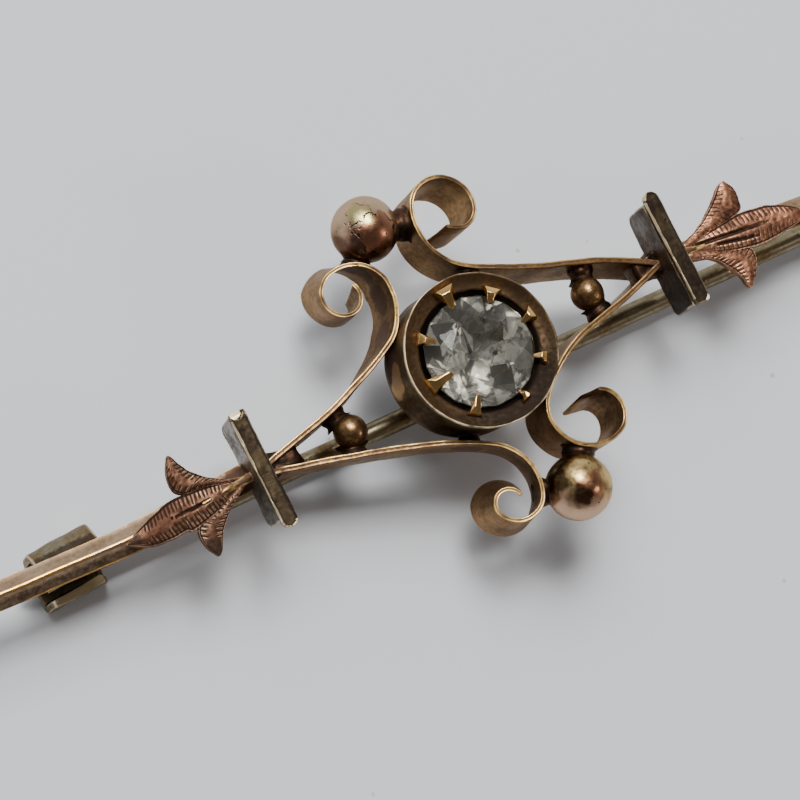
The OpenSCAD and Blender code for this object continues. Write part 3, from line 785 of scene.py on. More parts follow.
class BROOCH_OT_collet(bpy.types.Operator):
    """Build the round collet: drum, dished band and claws"""
    bl_idname = "brooch.collet"
    bl_label = "Collet"

    def execute(self, context):
        sizes = context.scene.brooch.setting
        self.drum(sizes)
        self.band(sizes)
        profile = [(r * MM, sizes.rim_height + z * MM) for r, z in LEDGE]
        add_piece("collet_seat", lathe(profile, 160, 0.04 * MM), FINISHES["seat_shade"], "collet")
        for number, claw in enumerate(CLAWS):
            self.claw(sizes, number, *claw)
        for turn, reach, seed in LUGS:
            self.lug(sizes, math.radians(turn), reach * MM, seed)
        return {"FINISHED"}

    def drum(self, sizes):
        """Drum with a thick wall, which leans a little toward its back."""
        rim, foot = sizes.rim_height, sizes.drum_radius
        back = rim - sizes.drum_depth
        edge = sizes.rim_radius - BAND_OVERHANG
        wall = [(foot, back), (foot + 0.03 * MM, back + 0.05 * MM)]
        wall += [(foot + (0.03 + 0.05 * k / 8) * MM, back + 0.05 * MM + (rim - back - 0.27 * MM) * k / 8)
                 for k in range(1, 9)]
        wall += [(edge, rim - 0.17 * MM), (edge - 0.2 * MM, rim - 0.17 * MM),
                 (foot - 0.42 * MM, back + 0.1 * MM), (foot - 0.36 * MM, back)]
        points, faces = lathe(wall, 220, 0.03 * MM)
        straight = 0.2 * MM
        for point in points:
            share = ramp(rim - straight, point.z, sizes.drum_depth - straight)
            point += Vector((-0.28, 0.16, 0)) * MM * share
        add_piece("collet", (points, faces), FINISHES["collet"], "collet",
                  solder_at=from_rim(DRUM_SOLDER), bare_and_sheen_at=from_rim(DRUM_BARE))

    def band(self, sizes):
        """Dished band with a thin rim, a painted highlight along the rim that is strongest at the lower
        left, and painted shade towards the bottom.
        """
        rim, outer, throat = sizes.rim_height, sizes.rim_radius, sizes.throat_radius
        low = rim - sizes.dish_drop
        edge = outer - BAND_OVERHANG
        band = [(edge, rim - 0.18 * MM), (outer, rim - 0.14 * MM), (outer, rim - 0.04 * MM),
                (outer - 0.015 * MM, rim - 0.01 * MM), (outer - 0.035 * MM, rim),
                (outer - 0.06 * MM, rim - 0.012 * MM)]
        inner = throat + 0.04 * MM
        for k in range(13):
            share = (k / 12) ** 1.3
            dip = 0.05 * MM * math.sin(math.pi * share)
            band.append((outer - 0.08 * MM + (inner - outer + 0.08 * MM) * share,
                         rim - 0.01 * MM - (sizes.dish_drop - 0.01 * MM) * share - dip))
        band += [(throat, low - 0.05 * MM), (throat + 0.06 * MM, low - 0.12 * MM),
                 (edge - 0.3 * MM, low - 0.12 * MM)]
        points, faces = lathe(band, 220, 0.03 * MM)
        piece = add_piece("collet_band", (points, faces), FINISHES["dish"], "collet")
        # Painted highlight: the rim's edge wear is raised towards the lower left and cut back inside the
        # dish.
        ways = [p.xy.normalized() for p in points]
        dish = outer - 0.07 * MM
        shares = [0.1 if p.xy.length < dish else 0.75 + 0.4 * way.dot(Vector((-0.8, -0.6)))
                  for p, way in zip(points, ways)]
        set_mark(piece.data, "wear_and_sheen", read_mark(piece.data, "wear_and_sheen") * shares)
        # Painted shade: darker towards the bottom of the band.
        raise_mark(piece.data, "dirt_and_shade", [max(0.0, way.dot(Vector((0.25, -0.95)))) * 0.34 for way in ways])

    def claw(self, sizes, number, turn, root, tip, width, lean):
        """Faceted claw from the dish to the stone, its lengths in millimetres."""
        drop = 0.3 - (tip - 1.42) * 0.5
        bed = -0.4 * (3.4 - root) - 0.03
        half = width / 2
        corners = [(root, -half, bed), (root, half, bed), (root - 0.05, -0.76 * half, bed + 0.2),
                   (root - 0.05, 0.76 * half, bed + 0.2), (root - 0.32, lean / 2 - 0.3 * half, bed + 0.36),
                   (root - 0.3, lean / 2 + 0.45 * half, bed + 0.33), (tip, lean, drop),
                   (tip + 0.14, lean - 0.3 * half, drop + 0.07),
                   (tip + 0.1, lean + 0.22 * half, drop + 0.05), (root - 0.15, -0.6 * half, bed - 0.3),
                   (root - 0.15, 0.6 * half, bed - 0.3), (tip + 0.25, lean, drop - 0.2)]
        turned = Matrix.Rotation(math.radians(turn), 4, "Z")
        shape = hull_of([turned @ Vector((x * MM, y * MM, z * MM + sizes.rim_height))
                         for x, y, z in corners])
        add_piece(f"collet_claw_{number}", taken_from(shape), FINISHES["claw"], "collet",
                  bevel=0.02 * MM, sharp=25)

    def lug(self, sizes, turn, reach, seed):
        """Lump of solder between the drum and a ribbon."""
        start = sizes.drum_radius - 0.25 * MM
        out, across = arms(turn)
        rings = []
        for k in range(9):
            share = k / 8
            waist = 1 - 0.35 * math.sin(math.pi * share)
            middle = out * (start + (reach - start) * share) + raised(sizes.rim_height - 2.2 * MM)
            ring = upright_ring(middle, across, 0.62 * MM * waist, 0.75 * MM * waist, 28)
            rings.append([p + ragged(p, 2.2, 0.12 * MM, seed) for p in ring])
        add_piece(f"collet_solder_{seed}", loft(rings), FINISHES["solder"], "collet")


class BROOCH_OT_stone(bpy.types.Operator):
    """Build the old-cut stone and its back facets"""
    bl_idname = "brooch.stone"
    bl_label = "Stone"

    def execute(self, context):
        girdle = -0.35
        crown = [*self.ring(8, 1.42, 0.21, 22.5, 0.03), *self.ring(8, 2.0, -0.055, 0, 0.04),
                 *self.ring(16, 2.49, girdle, 11.25, 0.01)]
        belt = self.ring(16, 2.49, girdle - 0.1, 11.25, 0.01)
        back = [*self.ring(8, 1.95, -0.98, 22.5, 0.03), *self.ring(8, 1.4, -1.5, 0, 0.06),
                *self.ring(8, 0.8, -1.92, 22.5, 0.08), *self.ring(6, 0.2, -2.3, 10, 0.03)]
        self.hull("stone", crown + belt + back, glass_finish(), 1.0)
        piece = self.hull("stone_back", belt + back, facet_light_finish(), 0.975)
        # Painted reflection on each back facet: a random share, more on facets towards the lower left, less
        # near the middle.
        lights = []
        for face in piece.data.polygons:
            middle = face.center / MM
            chance = noise.cell(middle * 3.7 + Vector((4.3, 8.1, 2.9)))
            toward = (-0.75 * middle.x - 0.66 * middle.y) / 2.2
            near = math.hypot(middle.x - 0.1, middle.y - 0.2)
            light = 0.16 + 0.42 * chance + (0.42 if toward > 0.45 else 0.0)
            lights.append(light * min(1.0, 0.25 + near * 0.75))
        set_mark(piece.data, "facet", lights, "FACE")
        return {"FINISHED"}

    def ring(self, count, radius, height, start, jitter):
        """Points of a ring of facets, a little uneven as in an old cut, in millimetres from the rim."""
        found = []
        for k in range(count):
            turn = math.radians(start + 360 * k / count)
            point = Vector((radius * math.cos(turn), radius * math.sin(turn), height))
            found.append(point + raised(1) * jitter * noise.noise(point * 3.1)
                         + point.normalized() * jitter * noise.noise(point * 2.3 + Vector((7, 1, 4))))
        return found

    def hull(self, name, corners, finish, scale):
        """Flat-faceted solid round some points, the back one without its lid."""
        down = (1 - scale) * MM
        shape = hull_of([(x * MM * scale, y * MM * scale, z * MM * scale - down + rim_height())
                         for x, y, z in corners])
        bmesh.ops.dissolve_limit(shape, angle_limit=math.radians(1.5), verts=shape.verts, edges=shape.edges)
        if name == "stone_back":
            lids = [f for f in shape.faces if f.normal.z > 0.9]
            bmesh.ops.delete(shape, geom=lids, context="FACES")
        piece = add_piece(name, taken_from(shape), finish, "stone")
        piece.data.shade_flat()
        return piece


class BROOCH_OT_scrolls(bpy.types.Operator):
    """Build the four ribbons on edge with their curls"""
    bl_idname = "brooch.scrolls"
    bl_label = "Scrolls"

    def execute(self, context):
        for name in COURSES:
            self.ribbon(context.scene.brooch, name)
        return {"FINISHED"}

    def ribbon(self, brooch, name):
        """Ribbon along its course, its section carried from the crossbar to the tip of the curl."""
        sizes = brooch.ribbon
        course = COURSES[name]
        total = sum(run for run, radius in course["rows"])
        outside = 1 if course["rows"][-1][1] < 0 else -1
        facing = -1 if course["turned"] else 1
        top = brooch.setting.rim_height - sizes.drop
        pivot = Vector((2 * MM, 0, top))
        place = Matrix.Translation(pivot) @ Matrix.Rotation(sizes.slope, 4, "Y") @ Matrix.Translation(-pivot)
        place = HALF_TURN @ place if course["turned"] else place
        section = rounded_section(sizes.thickness, sizes.width, sizes.edge, (6, 16))
        flat = sizes.thickness / 2 - sizes.edge
        line = course_line(course)
        columns = int(total / 0.09)
        rings = []
        shines = []
        top_sheen = []
        for column in range(columns + 1):
            share = column / columns
            thin = table_value(((0.3, 1), (0.5, 0.7)), share)
            shrink = thin * (1 - 0.35 * max(0, 1 - (1 - share) * total / 0.06) ** 2)
            early = -sizes.lead / MM * max(0, 1 - share * 8)
            last = ramp(share, 0.8, 0.2)
            curled = ramp(share, 0.36, 0.1)
            lean = table_value(course["lean"], share)
            ring = []
            for across, up in section:
                low = 0.5 - up / sizes.width
                along = share * total + early + last * table_value(course["longer"], low)
                x, y, heading = (float(np.interp(along, line[0], part)) for part in line[1:])
                side = across * shrink + outside * lean * (low - 0.2) * MM
                depth = low * sizes.width
                if low < 0.001:
                    depth += sizes.dip * max(0, 1 - (across / flat) ** 2)
                point = place @ Vector((x * MM - side * math.sin(heading), y * MM + side * math.cos(heading),
                                        top - depth))
                ring.append(uneven(point, (1.1, 0.022), (4, 0.004)))
                # Painted highlight: edge wear is kept in full on the side that faces the light and cut back
                # on the other, and the upper edge gets a painted sheen.
                toward_light = math.copysign(1, across) * math.cos(heading) * facing
                shines.append(1.0 if toward_light > 0 else 0.2 + 0.6 * curled)
                top_sheen.append(0.22 + 0.2 * curled if low < 0.002 else 0.0)
            rings.append(ring)
        piece = add_piece(name, loft(rings), FINISHES["ribbon"], name,
                          solder_at=from_rim(RIBBON_SOLDER), sharp=60)
        set_mark(piece.data, "wear_and_sheen", np.maximum(read_mark(piece.data, "wear_and_sheen") * shines, top_sheen))


def bead_centre(node, radius, side_x, side_y):
    """Middle of a bead, from the two sides of its node that no neck reaches."""
    low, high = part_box(node)
    x = low.x + radius if side_x < 0 else high.x - radius
    y = low.y + radius if side_y < 0 else high.y - radius
    return Vector((x, y, (low.z + high.z) / 2))


class BROOCH_OT_beads(bpy.types.Operator):
    """Build the ball beads with their solder necks"""
    bl_idname = "brooch.beads"
    bl_label = "Beads"

    def execute(self, context):
        sizes = context.scene.brooch.bead
        tones = context.scene.brooch.colours
        upper = bead_centre("bead_upper", sizes.large_radius, 1, 1)
        upper.x = -1.355 * MM
        lower = bead_centre("bead_lower", sizes.large_radius, 1, -1)
        lower.x = 1.355 * MM
        height = rim_height() - 2.5 * MM
        left = Vector((-6.2 * MM, -0.23 * MM, height))
        right = Vector((6.48 * MM, 0.15 * MM, height))
        # The upper bead's lower side gets painted shade in dark rose gold, the lower bead's a painted
        # reflection of the floor in the pale skin tone.
        rosy = patched_metal("bead_rose_gold", tones.skin, tones.bar, tones.rose_dark, tones,
                             [(self.on_ball(upper, sizes, 0.62, -0.25), 0.95, tones.rose),
                              (self.on_ball(upper, sizes, -0.15, 0.66), 0.55, tones.patch)], cracked=1.0)
        golden = patched_metal("bead_yellow_gold", tones.yellow, tones.olive, tones.skin, tones,
                               [(self.on_ball(lower, sizes, 0.66, 0.1), 0.55, tones.rose),
                                (self.on_ball(lower, sizes, 0.08, -0.3), 0.4, tones.rose_dark),
                                (self.on_ball(lower, sizes, -1.1, 0.3), 0.6, tones.umber)],
                               soft=0.2, cracked=0.0, lumps=3.0)
        brown = FINISHES["small_bead"]
        large, small = sizes.large_radius, sizes.small_radius
        self.bead("bead_upper", "bead_rose", upper, large, rosy, ((-15.7, 2.05, 0.8), (-130.7, 1.74, 0.74)))
        self.bead("bead_lower", "bead_gold", lower, large, golden, ((158, 1.8, 0.7), (54.7, 1.84, 0.8)))
        self.bead("bead_small_left", "bead_gold", left, small, brown,
                  ((106, 1.2, 0.66), (-107.3, 1.15, 0.7)))
        self.bead("bead_small_right", "bead_gold", right, small, brown,
                  ((70, 1.33, 0.62), (-79, 1.21, 0.68)))
        return {"FINISHED"}

    def on_ball(self, centre, sizes, right, up):
        """Point on a large bead that far to the right and up in the picture, in millimetres."""
        view = Euler(bpy.context.scene.brooch.studio.camera_turn, "XYZ").to_matrix()
        deep = math.sqrt((sizes.large_radius / MM) ** 2 - right ** 2 - up ** 2)
        return centre + view @ Vector((right, up, deep)) * MM

    def bead(self, node, slot, centre, radius, finish, necks):
        """Ball with small dents, and necks given as direction, reach and radius in millimetres."""
        shape = bmesh.new()
        bmesh.ops.create_icosphere(shape, subdivisions=5, radius=radius)
        for vertex in shape.verts:
            vertex.co += vertex.co.normalized() * ragged(vertex.co + centre, 1.0, 0.035 * MM).x
        points, faces = taken_from(shape)
        joints = []
        for turn, reach, neck in necks:
            out = arms(math.radians(turn))[0]
            joints.append((centre + out * reach * 0.85 * MM + raised(-0.5 * neck * MM), neck * 1.05 * MM))
        add_piece(node, ([p + centre for p in points], faces), finish, node, solder_at=joints)
        for number, (turn, reach, neck) in enumerate(necks):
            rings = self.neck(centre, radius, math.radians(turn), reach * MM, neck * MM)
            add_piece(f"{node}_neck_{number}", loft(rings), FINISHES["solder"], node)

    def neck(self, centre, radius, turn, reach, width):
        """Rings of a waisted lump of solder from a bead to a ribbon."""
        out, across = arms(turn)
        start = radius * 0.72
        rings = []
        for k in range(13):
            share = k / 12
            flare = (0.12 if share < 0.5 else 0.26) * (2 * share - 1) ** 4
            spread = width * (0.88 + flare + 0.06 * math.cos(3 * math.pi * share))
            middle = centre + out * (start + (reach - start) * share) + raised(-width * 0.55)
            ring = upright_ring(middle, across, spread, spread, 30)
            rings.append([uneven(p, (2.0, 0.06), (7, 0.012)) for p in ring])
        return rings


def slab_outline(half, low, high, radii, inset=0.0):
    """Closed outline of a slab in millimetres, with a radius for each corner from the upper right on."""
    half, low, high = half - inset, low + inset, high - inset
    radii = [min(max(r - inset, 0.01), half) for r in radii]
    centres = [(half - radii[0], high - radii[0]), (radii[1] - half, high - radii[1]),
               (radii[2] - half, low + radii[2]), (half - radii[3], low + radii[3])]
    corners = [quarter(x, y, r, 90 * index, 8) for index, ((x, y), r) in enumerate(zip(centres, radii))]
    outline = []
    for index, corner in enumerate(corners):
        outline += corner + between(corner[-1], corners[(index + 1) % 4][0], 54 if index % 2 else 8)
    return outline


# Crossbars in millimetres: the cap's corner radii, the facet at its upper end, how far the plate
# starts and stops short of the cap, the plate's half width and its shift along X, and the spots
# at the cap's ends that are painted bright, as x, y and reach: rubbed wear, and on the left cap's
# upper end a painted highlight.

CROSSBARS = {
    "crossbar_left": {
        "side": -1, "radii": (0.07, 0.07, 0.34, 0.34), "facet": 0.24, "short": (0.42, 0.06), "half": 0.35,
        "shift": 0.0,
        "bright": ((-0.12, 2.62, 0.24), (-0.02, 2.66, 0.2), (-0.33, -2.5, 0.08), (-0.24, -2.62, 0.08),
                   (-0.1, -2.69, 0.08), (0.06, -2.7, 0.08), (0.2, -2.65, 0.08), (0.31, -2.54, 0.08))},
    "crossbar_right": {
        "side": 1, "radii": (0.36, 0.36, 0.22, 0.22), "facet": 0.0, "short": (0.04, 0.42), "half": 0.38,
        "shift": -0.07,
        "bright": ((-0.3, 2.52, 0.1), (-0.26, 2.62, 0.1), (-0.18, 2.7, 0.1), (0.2, -2.74, 0.1),
                   (0.3, -2.66, 0.1), (0.34, -2.56, 0.08))},
}


class BROOCH_OT_crossbars(bpy.types.Operator):
    """Build the crossbars: a face sunk inside a bright rim, over a plate"""
    bl_idname = "brooch.crossbars"
    bl_label = "Crossbars"

    def execute(self, context):
        brooch = context.scene.brooch
        sizes = brooch.crossbar
        face = brooch.setting.rim_height - sizes.drop
        for node, bar in CROSSBARS.items():
            side = bar["side"]
            half_length = (sizes.left_length if side < 0 else sizes.right_length) / MM / 2
            turn = Matrix.Translation((side * sizes.place, 0, face)) @ Matrix.Rotation(sizes.turn, 4, "Z")
            self.cap(node, bar, turn, half_length, sizes.width / MM / 2)
            self.plate(node, bar, turn, half_length, sizes, face)
            self.wedge(node, side, face)
        return {"FINISHED"}

    def cap(self, node, bar, turn, half_length, half):
        """Face sunk inside a rim, from layers of height and inset in millimetres."""
        layers = [(-0.28, 0.2), (-0.28, 0.06), (-0.26, 0.02), (-0.2, 0.0), (-0.04, 0.0), (-0.01, 0.012),
                  (0.0, 0.03), (-0.006, 0.045), (-0.022, 0.06), (-0.03, 0.08), (-0.034, 0.14),
                  (-0.036, 0.22), (-0.036, 0.3), (-0.036, half - 0.015)]
        rings = []
        for z, inset in layers:
            ring = []
            for x, y in slab_outline(half, -half_length, half_length, bar["radii"], inset):
                sloped = max(0.0, y - half_length + bar["facet"]) / max(bar["facet"], 0.01)
                sink = 0.12 * sloped if z > -0.1 else 0.0
                level = 0.0 if sloped > 0 and z > -0.1 else z
                point = turn @ (Vector((x, y, level - sink)) * MM)
                ring.append(uneven(point, (1.2, 0.025), (5, 0.006)))
            rings.append(ring)
        edge = [(turn @ (Vector((0.01 - half, y * 0.1, -0.03)) * MM), 0.07 * MM)
                for y in range(int(-9 * half_length), int(9 * half_length))]
        # Spots at the cap's ends painted bright: rubbed wear, and on the left cap's upper end a painted
        # highlight.
        ends = [(turn @ (Vector((x, y, -0.05)) * MM), reach * MM) for x, y, reach in bar["bright"]]
        add_piece(node, loft(rings), FINISHES["cap"], node, sharp=50, bare_and_sheen_at=edge + ends)

    def plate(self, node, bar, turn, half_length, sizes, face):
        """Plate on edge under the cap, with rounded deep corners."""
        deep, corner = sizes.depth / MM, 0.42
        heights = [-deep + corner * (1 - math.cos(math.pi / 2 * k / 8)) for k in range(9)]
        heights += [-deep + corner + (deep - corner - 0.27) * k / 14 for k in range(1, 15)]
        rings = []
        for index, z in enumerate(heights):
            rise = min(z + deep, corner)
            cut = corner - math.sqrt(max(0.0, corner ** 2 - (corner - rise) ** 2))
            inset = 0.09 * (1 - index / 3) if index < 3 else 0.0
            low = -half_length + bar["short"][0] + cut * 0.97
            high = half_length - bar["short"][1] - cut * 0.97
            ring = []
            for x, y in slab_outline(bar["half"], low, high, (0.12,) * 4, inset):
                point = turn @ (Vector((x + bar["shift"], y, z)) * MM)
                ring.append(uneven(point, (0.9, 0.06), (3, 0.02)))
            rings.append(ring)
        side = bar["side"]
        joints = [((side * (sizes.place - 0.4 * MM), -0.1 * MM, face - 2.0 * MM), 1.2 * MM),
                  ((side * (sizes.place + 0.4 * MM), 0, face - 2.0 * MM), 0.8 * MM)]
        finish = FINISHES["plate_left" if side < 0 else "plate_right"]
        add_piece(f"{node}_plate", loft(rings), finish, node, solder_at=joints, sharp=50)

    def wedge(self, node, side, face):
        """Solder between the two ribbons at a crossbar, hollow on top, in millimetres."""
        outline = [(8.6, 0.5), (9.2, 0.38), (9.75, 0.42), (10.5, 0.55), (10.5, -0.62), (9.75, -0.6),
                   (9.2, -0.44), (8.6, -0.5)]
        short = 0.35 if side > 0 else 0.0
        outline = [(x + short * (10.5 - x) / 1.9, y) for x, y in outline]
        outline = smooth_points([Vector((x, y, 0)) for x, y in outline + outline[:1]], 5)[:-1]
        middle = Vector((9.8, -0.04, 0))
        layers = ((2.6, 0.8), (2.5, 1.0), (2.1, 1.0), (1.62, 0.98), (1.44, 0.9), (1.42, 0.7), (1.5, 0.3),
                  (1.52, 0.1))
        rings = []
        for depth, grow in layers:
            ring = [middle + (p - middle) * grow for p in outline]
            ring = [Vector((side * p.x * MM, side * p.y * MM, face - depth * MM)) for p in ring]
            rings.append([uneven(p, (1.8, 0.12), (6, 0.02)) for p in ring])
        add_piece(f"{node}_solder", loft(rings), FINISHES["solder"], node)


# Leaves in millimetres from the crossbar, as (along, across). Each lobe has its two edges from
# base to point, its number of strokes, and the share of its length where the strokes end. faint
# is the share of the strokes' full depth, and a dark lobe is marked darker than the others. A vein is a
# groove from one point to another with its half width.

LEAVES = {
    "leaf_left": {
        "lobes": (
            {"upper": [(0.5, 0.2), (0.9, 0.34), (1.9, 0.62), (2.99, 0.76), (3.56, 0.74), (4.1, 0.61),
                       (4.93, 0.37), (5.88, 0.02)],
             "lower": [(0.5, -0.2), (0.9, -0.34), (1.9, -0.66), (2.98, -0.87), (3.28, -0.75), (3.85, -0.76),
                       (4.5, -0.69), (4.99, -0.56), (5.62, -0.22), (5.88, -0.02)],
             "strokes": 30, "until": 0.84},
            {"upper": [(0.0, 0.16), (0.5, 0.36), (0.96, 0.56), (1.33, 0.81), (1.79, 1.24), (2.17, 1.81),
                       (2.39, 2.34), (2.5, 2.5)],
             "lower": [(0.1, 0.02), (0.9, 0.3), (1.9, 0.58), (2.7, 0.72), (3.02, 1.0), (3.03, 1.5),
                       (2.86, 1.99), (2.54, 2.47)],
             "strokes": 19, "until": 0.93},
            {"upper": [(0.1, 0.0), (0.9, -0.3), (1.9, -0.62), (2.8, -0.82), (2.98, -1.3), (2.9, -1.8),
                       (2.64, -2.28)],
             "lower": [(0.0, -0.05), (0.63, -0.45), (1.05, -0.69), (1.43, -0.96), (1.86, -1.37),
                       (2.18, -1.81), (2.4, -2.15), (2.6, -2.3)],
             "strokes": 19, "until": 0.78, "dark": True}),
        "veins": (((1.76, -0.03), (3.69, 0.03), 0.06),)},
    "leaf_right": {
        "lobes": (
            {"upper": [(0.5, 0.22), (1.2, 0.45), (2.2, 0.68), (3.1, 0.84), (3.88, 0.82), (4.63, 0.74),
                       (5.46, 0.43), (6.04, 0.07), (6.4, -0.09)],
             "lower": [(0.5, -0.22), (1.2, -0.45), (2.2, -0.72), (3.12, -0.86), (3.77, -0.88), (4.46, -0.79),
                       (4.96, -0.68), (5.77, -0.51), (6.4, -0.12)],
             "strokes": 27, "until": 0.88, "faint": 0.6},
            {"upper": [(0.0, 0.36), (0.4, 0.55), (0.72, 0.68), (1.33, 1.05), (1.83, 1.48), (2.27, 1.88),
                       (2.74, 2.33), (3.04, 2.47)],
             "lower": [(0.1, 0.05), (1.2, 0.4), (2.2, 0.64), (3.0, 0.8), (3.34, 1.0), (3.42, 1.5),
                       (3.38, 1.97), (3.08, 2.45)],
             "strokes": 18, "until": 0.94, "faint": 0.5},
            {"upper": [(0.1, -0.05), (1.2, -0.4), (2.2, -0.68), (3.0, -0.84), (3.1, -1.2), (3.03, -1.52),
                       (2.72, -2.11), (2.33, -2.52)],
             "lower": [(0.0, -0.4), (0.4, -0.52), (0.86, -0.6), (1.25, -0.86), (1.45, -1.08), (1.69, -1.42),
                       (2.01, -1.86), (2.15, -2.32), (2.29, -2.54)],
             "strokes": 18, "until": 0.94, "faint": 0.7}),
        "veins": (((0.44, 0.12), (4.43, 0.0), 0.11), ((1.48, -0.16), (3.74, -0.46), 0.09))},
}


class BROOCH_OT_leaves(bpy.types.Operator):
    """Build the engraved three-lobed leaves"""
    bl_idname = "brooch.leaves"
    bl_label = "Leaves"

    def execute(self, context):
        brooch = context.scene.brooch
        face = brooch.setting.rim_height - brooch.leaf.drop
        mirror = Matrix.Scale(-1, 4, (1, 0, 0))
        turn = Matrix.Rotation(math.radians(-7.5), 4, "Z")
        places = {"leaf_left": Matrix.Translation((-11.3 * MM, 0.03 * MM, face)) @ mirror,
                  "leaf_right": Matrix.Translation((11.5 * MM, -0.33 * MM, face)) @ turn}
        for node, place in places.items():
            leaf = LEAVES[node]
            for number, lobe in enumerate(leaf["lobes"]):
                self.lobe(brooch.leaf, node, place, number, lobe, leaf["veins"] if number == 0 else ())
            self.stem(node, place)
        return {"FINISHED"}

    def lobe(self, sizes, node, place, number, lobe, veins):
        """Crowned sheet between two edges, with strokes cut across it and veins along it."""
        lower = smooth_points([Vector((*p, 0)) for p in lobe["lower"]], 8)
        upper = smooth_points([Vector((*p, 0)) for p in lobe["upper"]], 8)
        columns, rows = 290, 44
        lift = (0.0, 0.035, 0.035)[number] * MM
        rings = []
        filth = []
        for column in range(columns + 1):
            share = 0.004 + 0.992 * column / columns
            a, b = sample(lower, share), sample(upper, share)
            middle = (a + b) / 2
            width = (b - a).length / 2
            ring = []
            for row in range(rows + 1):
                t = math.sin(math.pi / 2 * (-1 + 2 * row / rows))
                flat = a.lerp(b, (t + 1) / 2)
                nibble = ragged(flat * MM, 2.5, 0.035) * max(0, abs(t) - 0.8) * 5
                vein = self.vein(flat, veins)
                height = self.height(sizes, flat, share, t, width, lobe, number) + lift - 0.2 * MM * vein
                ring.append(Vector(((flat.x + nibble.x) * MM, (flat.y + nibble.y) * MM, height)))
                dull = ramp(share, lobe["until"], 0.05) * (abs(t) < 0.86)
                worn_lit_or_dull = (0.3 * dull if node == "leaf_left" else 0.0) + (0.15 if lobe.get("dark") else 0.0)
                filth.append(max(vein * 0.45, worn_lit_or_dull))
            for row in (rows, rows * 3 // 4, rows // 2, rows // 4, 0):
                under = a.lerp(b, row / rows).lerp(middle, 0.05)
                ring.append(Vector((under.x * MM, under.y * MM, -sizes.thickness + lift)))
                filth.append(0.0)
            rings.append([place @ p for p in ring])
        name = f"{node}_lobe_{number}" if number else node
        points, faces = loft(rings)
        piece = add_piece(name, (points, faces), FINISHES[node], node)
        tree = KDTree(len(points))
        for index, point in enumerate(points):
            tree.insert(point, index)
        tree.balance()
        near = [filth[tree.find(v.co)[1]] for v in piece.data.vertices]
        raise_mark(piece.data, "dirt_and_shade", near)

    def vein(self, flat, veins):
        """How deep a point lies in a vein, from 0 to 1."""
        found = 0.0
        for (x0, y0), (x1, y1), half in veins:
            if x0 < flat.x < x1:
                run = (flat.x - x0) / (x1 - x0)
                off = abs(flat.y - (y0 + (y1 - y0) * run))
                thin = half * (1 - run ** 3) + 0.01
                found = max(found, max(0, 1 - (off / thin) ** 2) * min(1, run * 8))
        return found

    def height(self, sizes, flat, share, t, width, lobe, seed):
        """Height of a lobe's face above its plane, in metres."""
        near = min(1, width / 0.3)
        crown = sizes.crown * (1 - t * t) * min(1, width / 0.5)
        rim = 0.035 * MM * math.exp(-((abs(t) - 0.95) / 0.035) ** 2) * near
        groove = -0.035 * MM * math.exp(-((abs(t) - 0.87) / 0.035) ** 2) * near
        edge = -0.2 * MM * max(0, (abs(t) - 0.965) / 0.035) ** 2
        jitter = 0.25 * noise.noise(Vector((share * 23, seed * 5 + (3 if t > 0 else 0), 0)))
        wave = (share * lobe["strokes"] + 0.7 * abs(t) + jitter) % 1
        stroke = math.exp(-((wave - 0.5) / 0.2) ** 2)
        start = 0.3 + 0.3 * noise.noise(Vector((share * lobe["strokes"] * 1.7, seed + t * 0.2, 4)))
        window = ramp(abs(t), start, 0.12) * ramp(share, 0.1, 0.05) * ramp(lobe["until"], share, 0.04)
        cut = -sizes.cut * stroke * window * near * lobe.get("faint", 1.0)
        rough = 0.014 * MM * noise.noise(Vector((flat.x * 5, flat.y * 5, seed)))
        return crown + rim + groove + edge + cut + rough

    def stem(self, node, place):
        """Smooth stem from the crossbar to the fork of the lobes, in millimetres."""
        reach = 1.0 if node == "leaf_left" else 0.45
        line = ((-0.32, 0.02), (0.3, 0.02), (0.9, 0.0), (1.5, -0.02), (2.2, -0.02))
        route = smooth_points([Vector((x * reach, y, 0)) for x, y in line], 8)
        rings = []
        for index, middle in enumerate(route):
            share = index / (len(route) - 1)
            half = 0.13 * (1 - share) + 0.08
            ring = [Vector((middle.x, middle.y + half * math.cos(a),
                            0.02 + 0.11 * math.sin(a) * (1 - share * 0.4))) * MM for a in circle(22)]
            rings.append([place @ uneven(p, (3, 0.03)) for p in ring])
        add_piece(f"{node}_stem", loft(rings), FINISHES["leaf_stem"], node,
                  solder_at=[(place @ Vector((-0.1 * MM, 0, 0)), 0.6 * MM)])


# Middle lines of the end bars, in millimetres from the crossbars outward

BAR_ROUTES = {
    "bar_left": ((-11.04, 0.2), (-14.5, 0.2), (-16.8, 0.22), (-18.5, 0.34), (-22.0, 0.66), (-25.95, 1.04)),
    "bar_right": ((11.14, -0.21), (14.0, -0.58), (17.0, -0.97), (20.0, -1.37), (25.95, -2.15)),
}


